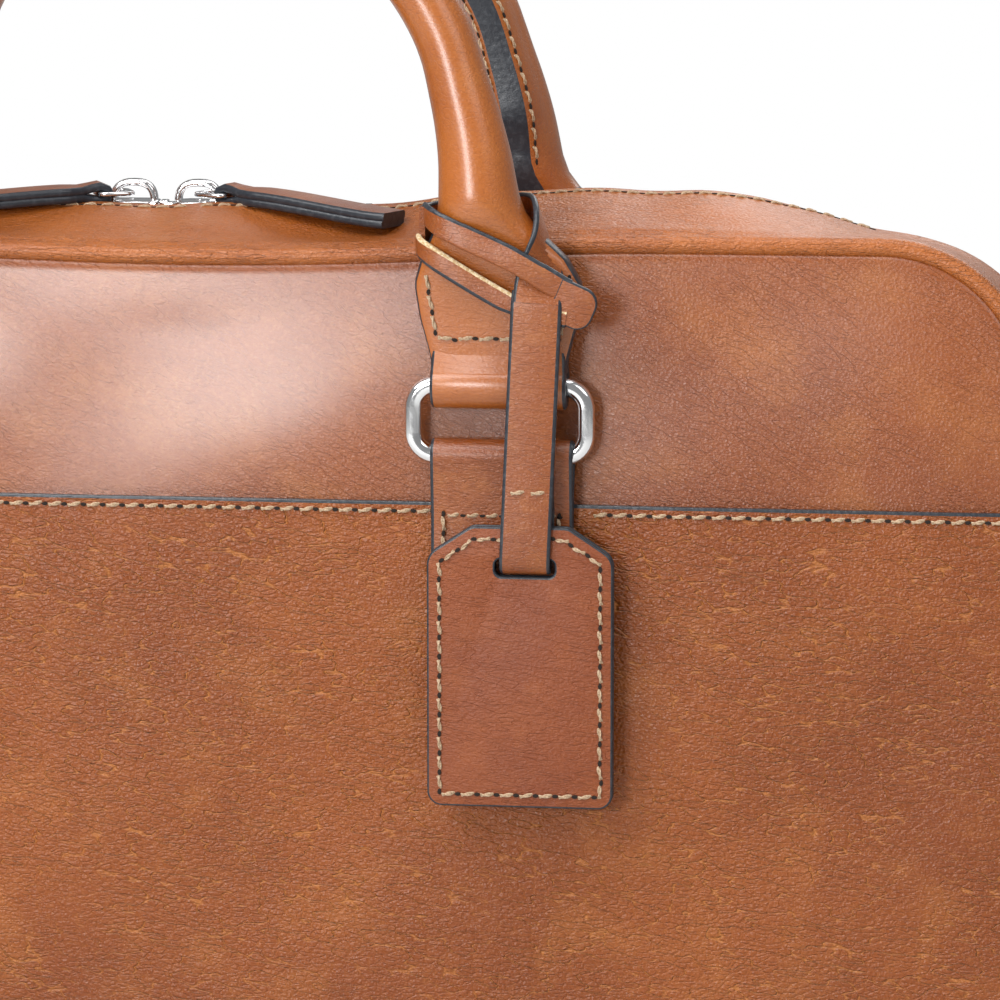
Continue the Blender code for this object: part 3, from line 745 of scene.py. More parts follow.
def new_object(name: str, mesh: bpy.types.Mesh, materials: Sequence[bpy.types.Material]) -> bpy.types.Object:
    """Puts a mesh in the scene with its materials, in order.

    Args:
        name: the object's name.
        mesh: its mesh.
        materials: its finishes, in the order of their indices.

    Returns:
        The object.
    """
    thing = bpy.data.objects.new(name, mesh)
    bpy.context.scene.collection.objects.link(thing)
    for material in materials:
        mesh.materials.append(material)
    return thing


def settle(thing: bpy.types.Object) -> bpy.types.Object:
    """Turns an object, modifiers and place included, into a plain mesh at the origin.

    Args:
        thing: the object.

    Returns:
        The same object.
    """
    graph = bpy.context.evaluated_depsgraph_get()
    mesh = bpy.data.meshes.new_from_object(thing.evaluated_get(graph), depsgraph=graph)
    mesh.transform(thing.matrix_world)
    thing.modifiers.clear()
    thing.data = mesh
    thing.matrix_world = Matrix.Identity(4)
    return thing


def shade(thing: bpy.types.Object, angle: float = 40.0) -> bpy.types.Object:
    """Smooth shading, with sharp edges past an angle in degrees.

    Args:
        thing: the object.
        angle: largest angle between faces that still looks smooth.

    Returns:
        The same object.
    """
    thing.data.shade_smooth()
    thing.data.set_sharp_from_angle(angle=radians(angle))
    return thing


def grid_mesh(points: np.ndarray, outward: Callable[[Vector], Vector]) -> bpy.types.Mesh:
    """A quad sheet through a table of points.

    Args:
        points: rows x columns x 3.
        outward: the rough outward direction at a place.

    Returns:
        A mesh whose faces look outward.
    """
    rows, columns = points.shape[:2]
    index = np.arange(rows * columns).reshape(rows, columns)
    quads = np.stack([index[:-1, :-1], index[:-1, 1:], index[1:, 1:], index[1:, :-1]], -1).reshape(-1, 4)
    mesh = bpy.data.meshes.new("sheet")
    mesh.from_pydata(points.reshape(-1, 3).tolist(), [], quads.tolist())
    mesh.update()
    middle = mesh.polygons[len(mesh.polygons) // 2 + columns // 3]
    if middle.normal.dot(outward(middle.center)) < 0:
        mesh.flip_normals()
    return mesh


def outward_mesh(name: str, shape: bmesh.types.BMesh) -> bpy.types.Mesh:
    """A mesh from a finished shape, with its faces turned outwards.

    Args:
        name: the mesh's name.
        shape: the shape, which is used up.

    Returns:
        The mesh.
    """
    bmesh.ops.recalc_face_normals(shape, faces=shape.faces)
    mesh = bpy.data.meshes.new(name)
    shape.to_mesh(mesh)
    shape.free()
    return mesh


def skin(
    shape: bmesh.types.BMesh,
    loops: Sequence[Sequence[bmesh.types.BMVert]],
    paint: Callable[[int, int], int] = lambda row, k: 0,
    closed: bool = False,
) -> None:
    """Lays quads between the loops of a sweep.

    Args:
        shape: the shape that the loops are in.
        loops: rings of vertices, all of one length.
        paint: material index of the face at a row and a place round the loop.
        closed: the last loop joins the first one, and otherwise both ends stay open.
    """
    size = len(loops[0])
    pairs = list(zip(loops, loops[1:])) + ([(loops[-1], loops[0])] if closed else [])
    for row, (first, second) in enumerate(pairs):
        for k in range(size):
            following = (k + 1) % size
            face = shape.faces.new((first[k], first[following], second[following], second[k]))
            face.material_index = paint(row, k)


def hide_sheet(
    name: str,
    points: np.ndarray,
    outward: Callable[[Vector], Vector],
    thickness: float,
    face: bpy.types.Material,
    rim: bpy.types.Material,
    keep: Callable[[Vector], bool] | None = None,
) -> bpy.types.Object:
    """A sheet of leather or cloth with a rounded rim.

    Args:
        name: the piece's name.
        points: its outer face, as rows x columns x 3.
        outward: the rough outward direction at a place.
        thickness: the wall, which grows inwards.
        face: material of both faces.
        rim: material of the cut edge.
        keep: which places of the finished sheet stay; the rest is taken away, which leaves no rim there.

    Returns:
        The finished piece.
    """
    thing = new_object(name, grid_mesh(points, outward), [face, rim])
    wall = thing.modifiers.new("wall", "SOLIDIFY")
    wall.thickness = thickness
    wall.offset = -1.0
    wall.material_offset_rim = 1
    wall.use_even_offset = True
    soften = thing.modifiers.new("edge", "BEVEL")
    soften.width = thickness * 0.30
    soften.segments = 2
    soften.limit_method = "ANGLE"
    soften.angle_limit = radians(60)
    settle(thing)
    if keep is not None:
        shape = bmesh.new()
        shape.from_mesh(thing.data)
        lost = [face for face in shape.faces if not keep(face.calc_center_median())]
        bmesh.ops.delete(shape, geom=lost, context="FACES")
        shape.to_mesh(thing.data)
        shape.free()
    return shade(thing)


@dataclass
class Strip:
    """A flat strip of leather or metal that follows a path, with painted edges and capped ends."""

    thickness: float
    sides: int = 3
    cap: int = 1

    def section(self, width: float) -> list[tuple[float, float]]:
        """Rounded outline across the strip, as (across, out), starting at the left edge.

        Args:
            width: width of the strip there.

        Returns:
            Points in order round the strip.
        """
        half, thick = width / 2, self.thickness / 2
        tall, wide = thick * 0.80, min(0.0008, half * 0.8)
        corners = [(half - wide, thick - tall, 0), (-half + wide, thick - tall, 1)]
        corners += [(-half + wide, -thick + tall, 2), (half - wide, -thick + tall, 3)]
        outline = []
        for x, y, quarter in corners:
            for k in range(self.sides + 1):
                turn = pi / 2 * (quarter + k / self.sides)
                outline.append((x + wide * cos(turn), y + tall * sin(turn)))
        return outline

    def make(
        self,
        name: str,
        path: Sequence[tuple[Vector, Vector, float]],
        materials: Sequence[bpy.types.Material],
        closed: bool = False,
    ) -> bpy.types.Object:
        """Sweeps the strip.

        Args:
            name: the piece's name.
            path: places, directions that the strip's face looks in, and widths.
            materials: face, edge at the right of the path, and edge at its left.
            closed: joins the last section to the first.

        Returns:
            The piece.
        """
        count = len(path)
        shape = bmesh.new()
        loops = []
        for k, (place, normal, width) in enumerate(path):
            before = path[(k - 1) % count if closed else max(0, k - 1)][0]
            after = path[(k + 1) % count if closed else min(count - 1, k + 1)][0]
            along = (after - before).normalized()
            across = along.cross(normal).normalized()
            out = across.cross(along).normalized()
            loops.append([shape.verts.new(place + across * a + out * o) for a, o in self.section(width)])
        size = len(loops[0])
        quarter = size // 4

        def paint(_: int, k: int) -> int:
            """Material of a face: 1 and 2 on the two edges, 0 on the broad faces."""
            if k in (quarter - 1, 3 * quarter - 1):
                return 0
            if k < quarter - 1 or k >= size - quarter:
                return 1
            return 2 if quarter <= k < 3 * quarter - 1 else 0

        skin(shape, loops, paint, closed)
        if not closed:
            for end in (loops[0][::-1], loops[-1]):
                shape.faces.new(end).material_index = self.cap
        return shade(new_object(name, outward_mesh(name, shape), materials), 50)


def smooth_path(points: Sequence[Point], steps: int) -> list[Vector]:
    """A Catmull-Rom curve through points, with that many steps between neighbours.

    Args:
        points: places that the curve runs through.
        steps: pieces between two of them.

    Returns:
        The curve's points, both ends included.
    """
    p = [Vector(point) for point in points]
    p = [2 * p[0] - p[1], *p, 2 * p[-1] - p[-2]]
    line = []
    for k in range(1, len(p) - 2):
        a, b, c, d = p[k - 1 : k + 3]
        for step in range(steps):
            t = step / steps
            square, cube = 2 * a - 5 * b + 4 * c - d, 3 * b - a - 3 * c + d
            line.append(0.5 * (2 * b + (c - a) * t + square * t**2 + cube * t**3))
    return [*line, p[-2]]


def squared(value: float, power: float) -> float:
    """A sine or cosine pushed towards a box's outline by a power below 1."""
    return abs(value) ** power * (1 if value >= 0 else -1)


def arc(centre: tuple[float, float], radius: float, start: float, end: float, steps: int) -> list:
    """Points on a flat arc, from one angle to another."""
    turns = [start + (end - start) * k / steps for k in range(steps + 1)]
    return [(centre[0] + radius * cos(t), centre[1] + radius * sin(t)) for t in turns]


def rounded_box(width: float, height: float, radius: float, steps: int = 6) -> list:
    """Outline of a rectangle with round corners, centred on the origin.

    Args:
        width: whole width.
        height: whole height.
        radius: corner radius.
        steps: pieces in each corner.

    Returns:
        Points, anticlockwise.
    """
    outline = []
    for sx, sy, quarter in ((1, 1, 0), (-1, 1, 1), (-1, -1, 2), (1, -1, 3)):
        centre = (sx * (width / 2 - radius), sy * (height / 2 - radius))
        outline += arc(centre, radius, quarter * pi / 2, (quarter + 1) * pi / 2, steps)
    return outline


def slab(
    name: str, outlines: Sequence, thickness: float, bevel: float, frame: Matrix, materials: Sequence
) -> bpy.types.Object:
    """A flat plate with rounded edges, from outlines in the XY plane of a frame.

    Args:
        name: the piece's name.
        outlines: the outer outline and any holes.
        thickness: the whole thickness.
        bevel: radius of its edges.
        frame: where the plate's middle plane lies.
        materials: face material, then edge material.

    Returns:
        The piece.
    """
    curve = bpy.data.curves.new(name, "CURVE")
    curve.dimensions = "2D"
    curve.fill_mode = "BOTH"
    curve.extrude = thickness / 2 - bevel
    curve.bevel_depth = bevel
    curve.bevel_resolution = 2
    curve.offset = -bevel
    for outline in outlines:
        spline = curve.splines.new("POLY")
        spline.points.add(len(outline) - 1)
        for point, (x, y) in zip(spline.points, outline):
            point.co = (x, y, 0, 1)
        spline.use_cyclic_u = True
    drawn = bpy.data.objects.new(name, curve)
    bpy.context.scene.collection.objects.link(drawn)
    graph = bpy.context.evaluated_depsgraph_get()
    mesh = bpy.data.meshes.new_from_object(drawn.evaluated_get(graph), depsgraph=graph)
    bpy.data.objects.remove(drawn, do_unlink=True)
    shape = bmesh.new()
    shape.from_mesh(mesh)
    bmesh.ops.remove_doubles(shape, verts=shape.verts, dist=1e-6)
    bmesh.ops.recalc_face_normals(shape, faces=shape.faces)
    for face in shape.faces:
        face.material_index = 0 if abs(face.normal.z) > 0.97 else 1
    shape.to_mesh(mesh)
    shape.free()
    mesh.transform(frame)
    return shade(new_object(name, mesh, materials), 35)


def soft_outline(corners: Sequence[tuple[float, float, float]], steps: int = 5) -> list[tuple[float, float]]:
    """Outline of a polygon whose corners, given as (x, y, radius) anticlockwise, are rounded.

    Args:
        corners: corners with their radii.
        steps: pieces in each corner.

    Returns:
        Points, anticlockwise.
    """
    outline, count = [], len(corners)
    for k, (x, y, radius) in enumerate(corners):
        here = Vector((x, y))
        back = (Vector(corners[k - 1][:2]) - here).normalized()
        ahead = (Vector(corners[(k + 1) % count][:2]) - here).normalized()
        half = back.angle(ahead) / 2
        centre = here + (back + ahead).normalized() * radius / sin(half)
        start, end = here + back * radius / np.tan(half), here + ahead * radius / np.tan(half)
        for step in range(steps + 1):
            ray = (start - centre).lerp(end - centre, step / steps).normalized() * radius
            outline.append(tuple(centre + ray))
    return outline


def inset(outline: Sequence[tuple[float, float]], distance: float) -> list[tuple[float, float]]:
    """An anticlockwise outline drawn in by a distance.

    Args:
        outline: the outline.
        distance: how far inwards.

    Returns:
        The smaller outline.
    """
    count, line = len(outline), []
    for k in range(count):
        a, b = Vector(outline[k - 1]), Vector(outline[(k + 1) % count])
        along = (b - a).normalized()
        line.append((outline[k][0] - along.y * distance, outline[k][1] + along.x * distance))
    return line


def dress(node: bpy.types.Object, material: bpy.types.Material) -> None:
    """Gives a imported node, which keeps its shape, its finish."""
    for held in node.material_slots:
        held.material = material


def joined(name: str, things: Sequence[bpy.types.Object]) -> bpy.types.Object:
    """One object from several, which keeps their materials.

    Args:
        name: the piece's name.
        things: objects to merge, which are used up.

    Returns:
        The merged object.
    """
    shape = bmesh.new()
    materials: list[bpy.types.Material] = []
    for thing in things:
        start = len(shape.faces)
        shape.from_mesh(thing.data)
        shape.faces.ensure_lookup_table()
        slots = []
        for material in thing.data.materials:
            if material not in materials:
                materials.append(material)
            slots.append(materials.index(material))
        for face in shape.faces[start:]:
            face.material_index = slots[min(face.material_index, len(slots) - 1)]
        bpy.data.objects.remove(thing, do_unlink=True)
    mesh = bpy.data.meshes.new(name)
    shape.to_mesh(mesh)
    shape.free()
    return shade(new_object(name, mesh, materials), 40)


# ---- Stitches and teeth, repeated by Geometry Nodes ----------------------------------------------
@dataclass
class Seam:
    """Places that a repeated shape takes: position, direction along the row and outward direction."""

    spots: list[tuple[Vector, Vector, Vector]] = field(default_factory=list)

    def run(self, line: Sequence[Vector], outs: Sequence[Vector], pitch: float, closed: bool = False) -> None:
        """Adds evenly spaced spots along a line.

        Args:
            line: points of the row.
            outs: outward direction at each point.
            pitch: wanted distance between spots.
            closed: the row runs back to its first point.
        """
        points, normals = list(line), list(outs)
        if closed:
            points, normals = [*points, points[0]], [*normals, normals[0]]
        reach = [0.0]
        for a, b in zip(points, points[1:]):
            reach.append(reach[-1] + (b - a).length)
        count = max(1, round(reach[-1] / pitch))
        table = np.array([list(p) + list(n) for p, n in zip(points, normals)])
        for k in range(count):
            middle = (k + 0.5) * reach[-1] / count
            ends = [middle - 0.3 * pitch, middle, middle + 0.3 * pitch]
            at = np.array([[np.interp(s, reach, table[:, c]) for c in range(6)] for s in ends])
            along = Vector(at[2, :3] - at[0, :3]).normalized()
            self.spots.append((Vector(at[1, :3]), along, Vector(at[1, 3:]).normalized()))

    def shifted(self, distance: float) -> "Seam":
        """The same row moved along itself, for what lies between two stitches."""
        return Seam([(place + along * distance, along, out) for place, along, out in self.spots])


class Repeat:
    """A Geometry Nodes tree that sets one small shape on every spot of a seam."""

    def __init__(self, name: str) -> None:
        """Builds the tree, with named inputs Shape, Size, Slant, Unevenness, Seed and Material.

        Args:
            name: the tree's name.
        """
        self.tree = bpy.data.node_groups.new(name, "GeometryNodeTree")
        face = self.tree.interface
        face.new_socket("Points", in_out="INPUT", socket_type="NodeSocketGeometry")
        self.ids = {}
        for label, kind, value in (
            ("Shape", "NodeSocketObject", None),
            ("Size", "NodeSocketFloat", 1.0),
            ("Slant", "NodeSocketFloat", 0.0),
            ("Unevenness", "NodeSocketFloat", 0.0),
            ("Seed", "NodeSocketInt", 7),
            ("Material", "NodeSocketMaterial", None),
        ):
            socket = face.new_socket(label, in_out="INPUT", socket_type=kind)
            if value is not None:
                socket.default_value = value
            self.ids[label] = socket.identifier
        face.new_socket("Result", in_out="OUTPUT", socket_type="NodeSocketGeometry")
        self.lay()

    def add(self, kind: str, **settings: object) -> bpy.types.Node:
        """Adds a node with its settings.

        Args:
            kind: its type name.
            settings: its properties.

        Returns:
            The node.
        """
        node = self.tree.nodes.new(kind)
        for key, value in settings.items():
            setattr(node, key, value)
        return node

    def direction(self, name: str) -> bpy.types.NodeSocket:
        """Reads a stored direction of the spots.

        Args:
            name: the attribute's name.

        Returns:
            The socket that gives it.
        """
        node = self.add("GeometryNodeInputNamedAttribute", data_type="FLOAT_VECTOR")
        node.inputs["Name"].default_value = name
        return node.outputs["Attribute"]

    def lay(self) -> None:
        """Lays the tree's nodes and links."""
        link = self.tree.links.new
        start, end = self.add("NodeGroupInput"), self.add("NodeGroupOutput")
        first = self.add("FunctionNodeAlignRotationToVector", axis="X")
        second = self.add("FunctionNodeAlignRotationToVector", axis="Z", pivot_axis="X")
        link(self.direction("along"), first.inputs["Vector"])
        link(first.outputs[0], second.inputs["Rotation"])
        link(self.direction("out"), second.inputs["Vector"])
        wobble = self.add("FunctionNodeRandomValue", data_type="FLOAT")
        negative = self.add("ShaderNodeMath", operation="MULTIPLY")
        negative.inputs[1].default_value = -1.0
        link(start.outputs["Unevenness"], negative.inputs[0])
        link(negative.outputs[0], wobble.inputs[2])
        link(start.outputs["Unevenness"], wobble.inputs[3])
        link(start.outputs["Seed"], wobble.inputs["Seed"])
        slant = self.add("ShaderNodeMath", operation="ADD")
        link(start.outputs["Slant"], slant.inputs[0])
        link(wobble.outputs[1], slant.inputs[1])
        turn = self.add("ShaderNodeCombineXYZ")
        link(slant.outputs[0], turn.inputs["Z"])
        spin = self.add("FunctionNodeRotateRotation", rotation_space="LOCAL")
        link(second.outputs[0], spin.inputs[0])
        link(turn.outputs[0], spin.inputs[1])
        shape = self.add("GeometryNodeObjectInfo")
        link(start.outputs["Shape"], shape.inputs["Object"])
        copies = self.add("GeometryNodeInstanceOnPoints")
        link(start.outputs["Points"], copies.inputs["Points"])
        link(shape.outputs["Geometry"], copies.inputs["Instance"])
        link(spin.outputs[0], copies.inputs["Rotation"])
        link(start.outputs["Size"], copies.inputs["Scale"])
        real = self.add("GeometryNodeRealizeInstances")
        link(copies.outputs[0], real.inputs[0])
        coat = self.add("GeometryNodeSetMaterial")
        link(real.outputs[0], coat.inputs["Geometry"])
        link(start.outputs["Material"], coat.inputs["Material"])
        link(coat.outputs[0], end.inputs[0])

    def make(
        self,
        name: str,
        seam: Seam,
        shape: bpy.types.Object,
        material: bpy.types.Material,
        slant: float = 0.0,
        unevenness: float = 0.0,
    ) -> bpy.types.Object:
        """Sets the shape on the seam's spots and returns a plain mesh object.

        Args:
            name: the piece's name.
            seam: the spots.
            shape: the object to repeat.
            material: its finish.
            slant: turn of each copy about its outward direction.
            unevenness: largest random turn on top of that.

        Returns:
            The piece.
        """
        mesh = bpy.data.meshes.new(name)
        mesh.from_pydata([tuple(place) for place, _, _ in seam.spots], [], [])
        for key, index in (("along", 1), ("out", 2)):
            store = mesh.attributes.new(key, "FLOAT_VECTOR", "POINT")
            directions = np.array([spot[index] for spot in seam.spots], np.float32)
            store.data.foreach_set("vector", directions.ravel())
        thing = new_object(name, mesh, [material])
        nodes = thing.modifiers.new("repeat", "NODES")
        nodes.node_group = self.tree
        values = {"Shape": shape, "Slant": slant, "Unevenness": unevenness, "Material": material, "Size": 1.0}
        for key, value in values.items():
            nodes[self.ids[key]] = value
        return shade(settle(thing), 50)


@dataclass(frozen=True)
class Sewing:
    """What every row of stitches is made with."""

    repeat: Repeat
    stitch: bpy.types.Object
    hole: bpy.types.Object
    finish: Finishes

    def sew(
        self, name: str, seam: Seam, pitch: float, unevenness: float = 0.06, slant: float = STITCH_SLANT
    ) -> bpy.types.Object:
        """Stitches on a seam's spots, with dark discs between them that paint the shade in the needle holes.

        Args:
            name: the piece's name.
            seam: the spots of the stitches.
            pitch: distance between stitches.
            unevenness: largest random turn of a stitch.
            slant: turn of every stitch.

        Returns:
            The piece.
        """
        thread = self.repeat.make("thread", seam, self.stitch, self.finish.thread, slant, unevenness)
        between = seam.shifted(pitch / 2)
        # Dark discs between the stitches: painted shade in the needle holes.
        holes = self.repeat.make("holes", between, self.hole, self.finish.hole)
        return joined(name, [thread, holes])


# ---- The bag's form -----------------------------------------------------------------------------
@dataclass(frozen=True)
class BagForm:
    """Sizes of the bag's body, shared by everything that is sewn to it."""

    width: float = 0.406
    seam: float = 0.285
    base_depth: float = 0.0425
    narrowing: float = 0.0075
    taper_from: float = 0.200
    top_corner: float = 0.035
    base_corner: float = 0.022
    base: float = 0.0023
    leather: float = 0.0020
    lap: float = 0.2245
    flap_half: float = 0.165
    flap_edge: float = 0.0070
    turned: float = 0.0023
    arch: float = 1.6
    chape_x: float = 0.080
    lap_gap: float = 0.0003

    def depth(self, z: np.ndarray | float) -> np.ndarray | float:
        """Distance of a panel's face from the middle plane."""
        share = np.clip((z - self.taper_from) / (self.seam - self.taper_from), 0.0, 1.0)
        return self.base_depth - self.narrowing * share**2

    def sag(self, x: np.ndarray | float) -> np.ndarray | float:
        """How far the top hangs down at x, between the handles.

        Args:
            x: distance right of the middle.

        Returns:
            A height that is zero or below.
        """
        across = [0, 12, 30, 60, 80, 95, 115, 165, 210]
        hang = [-4.9, -4.8, -4.4, -3.2, -1.7, -0.8, -0.5, -0.4, 0.0]
        reach, steps = np.abs(x) * 1000, (-12, -6, 0, 6, 12)
        total = sum(np.interp(np.abs(reach + step), across, hang) for step in steps)
        return total / (1000 * len(steps))

    def drop(self, x: np.ndarray, z: np.ndarray, y: np.ndarray | float) -> np.ndarray:
        """Sag at any height, whole at the top seam and fading down the panels, with the slump behind."""
        return self.sag(x) * smoothstep(z, 0.232, 0.285) + self.slump(x, y) * smoothstep(z, 0.190, 0.285)

    @staticmethod
    def slump(x: np.ndarray | float, y: np.ndarray | float) -> np.ndarray | float:
        """How far the soft top corners sink towards the back."""
        return -0.0072 * smoothstep(np.abs(x), 0.125, 0.180) * smoothstep(y, -0.036, 0.034)

    def roof(self, x: float, y: float) -> float:
        """Height of the zip gusset's outer face.

        Args:
            x: distance right of the middle.
            y: distance behind the middle.

        Returns:
            The height there.
        """
        share = min(1.0, abs(y) / float(self.depth(self.seam)))
        rise = self.swell_top(x) * (1 - share**self.arch)
        return self.seam + self.turned + rise + float(self.sag(x) + self.slump(x, y)) + self.ruffle(x, y)

    def mouth_edge(self, x: float) -> float:
        """Distance of the leather's edge from the zip's middle, which closes towards the zip's ends."""
        return self.flap_edge - 0.0058 * float(smoothstep(abs(x), 0.130, 0.162))

    def ruffle(self, x: float, y: float) -> float:
        """Unevenness of the soft leather beside the zip, and the way it leans back.

        Args:
            x: distance right of the middle.
            y: distance behind the middle.

        Returns:
            A height to add.
        """
        near = smoothstep(self.depth(self.seam) - abs(y), 0.004, 0.014)
        near = float(near * smoothstep(self.flap_half - abs(x), 0, 0.03))
        lean = -0.0026 * float(smoothstep(y, -0.006, 0.007)) * near
        pressed = ((abs(x + 0.0085) - 0.048) / 0.022) ** 2 + ((y + 0.020) / 0.010) ** 2
        dent = -0.0026 * float(np.exp(-pressed))
        return lean + dent + near * (0.00035 * sin(x * 95 + 0.8) + 0.00025 * sin(x * 210))

    def swell_top(self, x: float) -> float:
        """How far the zip stands above the top seams: level along the top, falling to the corners."""
        reach = [0.0, 0.040, 0.060, 0.103, 0.122, 0.137, 0.155, 0.165, 0.175]
        return float(np.interp(abs(x), reach, [8.7, 9.0, 9.7, 10.2, 9.5, 7.9, 4.2, 1.8, 0.3])) / 1000

    def half_width(self, z: np.ndarray, inset: float) -> np.ndarray:
        """Half the panel's width at height z.

        Args:
            z: height.
            inset: how far the outline is drawn in.

        Returns:
            Half widths.
        """
        half, top, low = self.width / 2 - inset, self.seam - self.top_corner, self.base + self.base_corner
        up, down = np.clip(z - top, 0, None), np.clip(low - z, 0, None)
        big, small = self.top_corner - inset, self.base_corner - inset
        upper = half - big + np.sqrt(np.clip(big**2 - up**2, 0, None))
        lower = half - small + np.sqrt(np.clip(small**2 - down**2, 0, None))
        return np.where(z > top, upper, np.where(z < low, lower, half))

    def edge_distance(self, x: np.ndarray, z: np.ndarray) -> np.ndarray:
        """Distance inwards from the panel's outline.

        Args:
            x: distance right of the middle.
            z: height.

        Returns:
            Distances.
        """
        half, top, low = self.width / 2, self.seam - self.top_corner, self.base + self.base_corner
        plain = np.minimum(half - np.abs(x), np.minimum(self.seam - z, z - self.base))
        up = self.top_corner - np.hypot(np.abs(x) - (half - self.top_corner), z - top)
        down = self.base_corner - np.hypot(np.abs(x) - (half - self.base_corner), low - z)
        plain = np.where((np.abs(x) > half - self.top_corner) & (z > top), up, plain)
        return np.where((np.abs(x) > half - self.base_corner) & (z < low), down, plain)

    @staticmethod
    def swell(x: np.ndarray, z: np.ndarray, side: int) -> np.ndarray:
        """Gentle waves of soft leather over its board.

        Args:
            x: distance right of the middle.
            z: height.
            side: -1 front, 1 back.

        Returns:
            Distances to add.
        """
        wave = 0.40 * np.sin(31 * x + 22 * z + 1.3 * side) + 0.32 * np.sin(-47 * x + 38 * z + 0.7)
        wave = wave + 0.22 * np.sin(83 * x + 29 * z + 2.1 * side) + 0.16 * np.sin(59 * x - 96 * z + 4.0)
        return 0.001 * wave

    def face(self, x: np.ndarray, z: np.ndarray, side: int, off: float) -> np.ndarray:
        """Distance of a panel's face from the middle plane, waves included, flat under the chapes.

        Args:
            x: distance right of the middle.
            z: height.
            side: -1 front, 1 back.
            off: distance outside the plain face.

        Returns:
            Distances.
        """
        chape = np.exp(-(((np.abs(x) - self.chape_x) / 0.024) ** 2))
        calm = 1 - 0.85 * chape * smoothstep(z, 0.130, 0.170)
        inner = smoothstep(self.edge_distance(x, z), 0.0, 0.020)
        return self.depth(z) + off + self.swell(x, z, side) * inner * calm


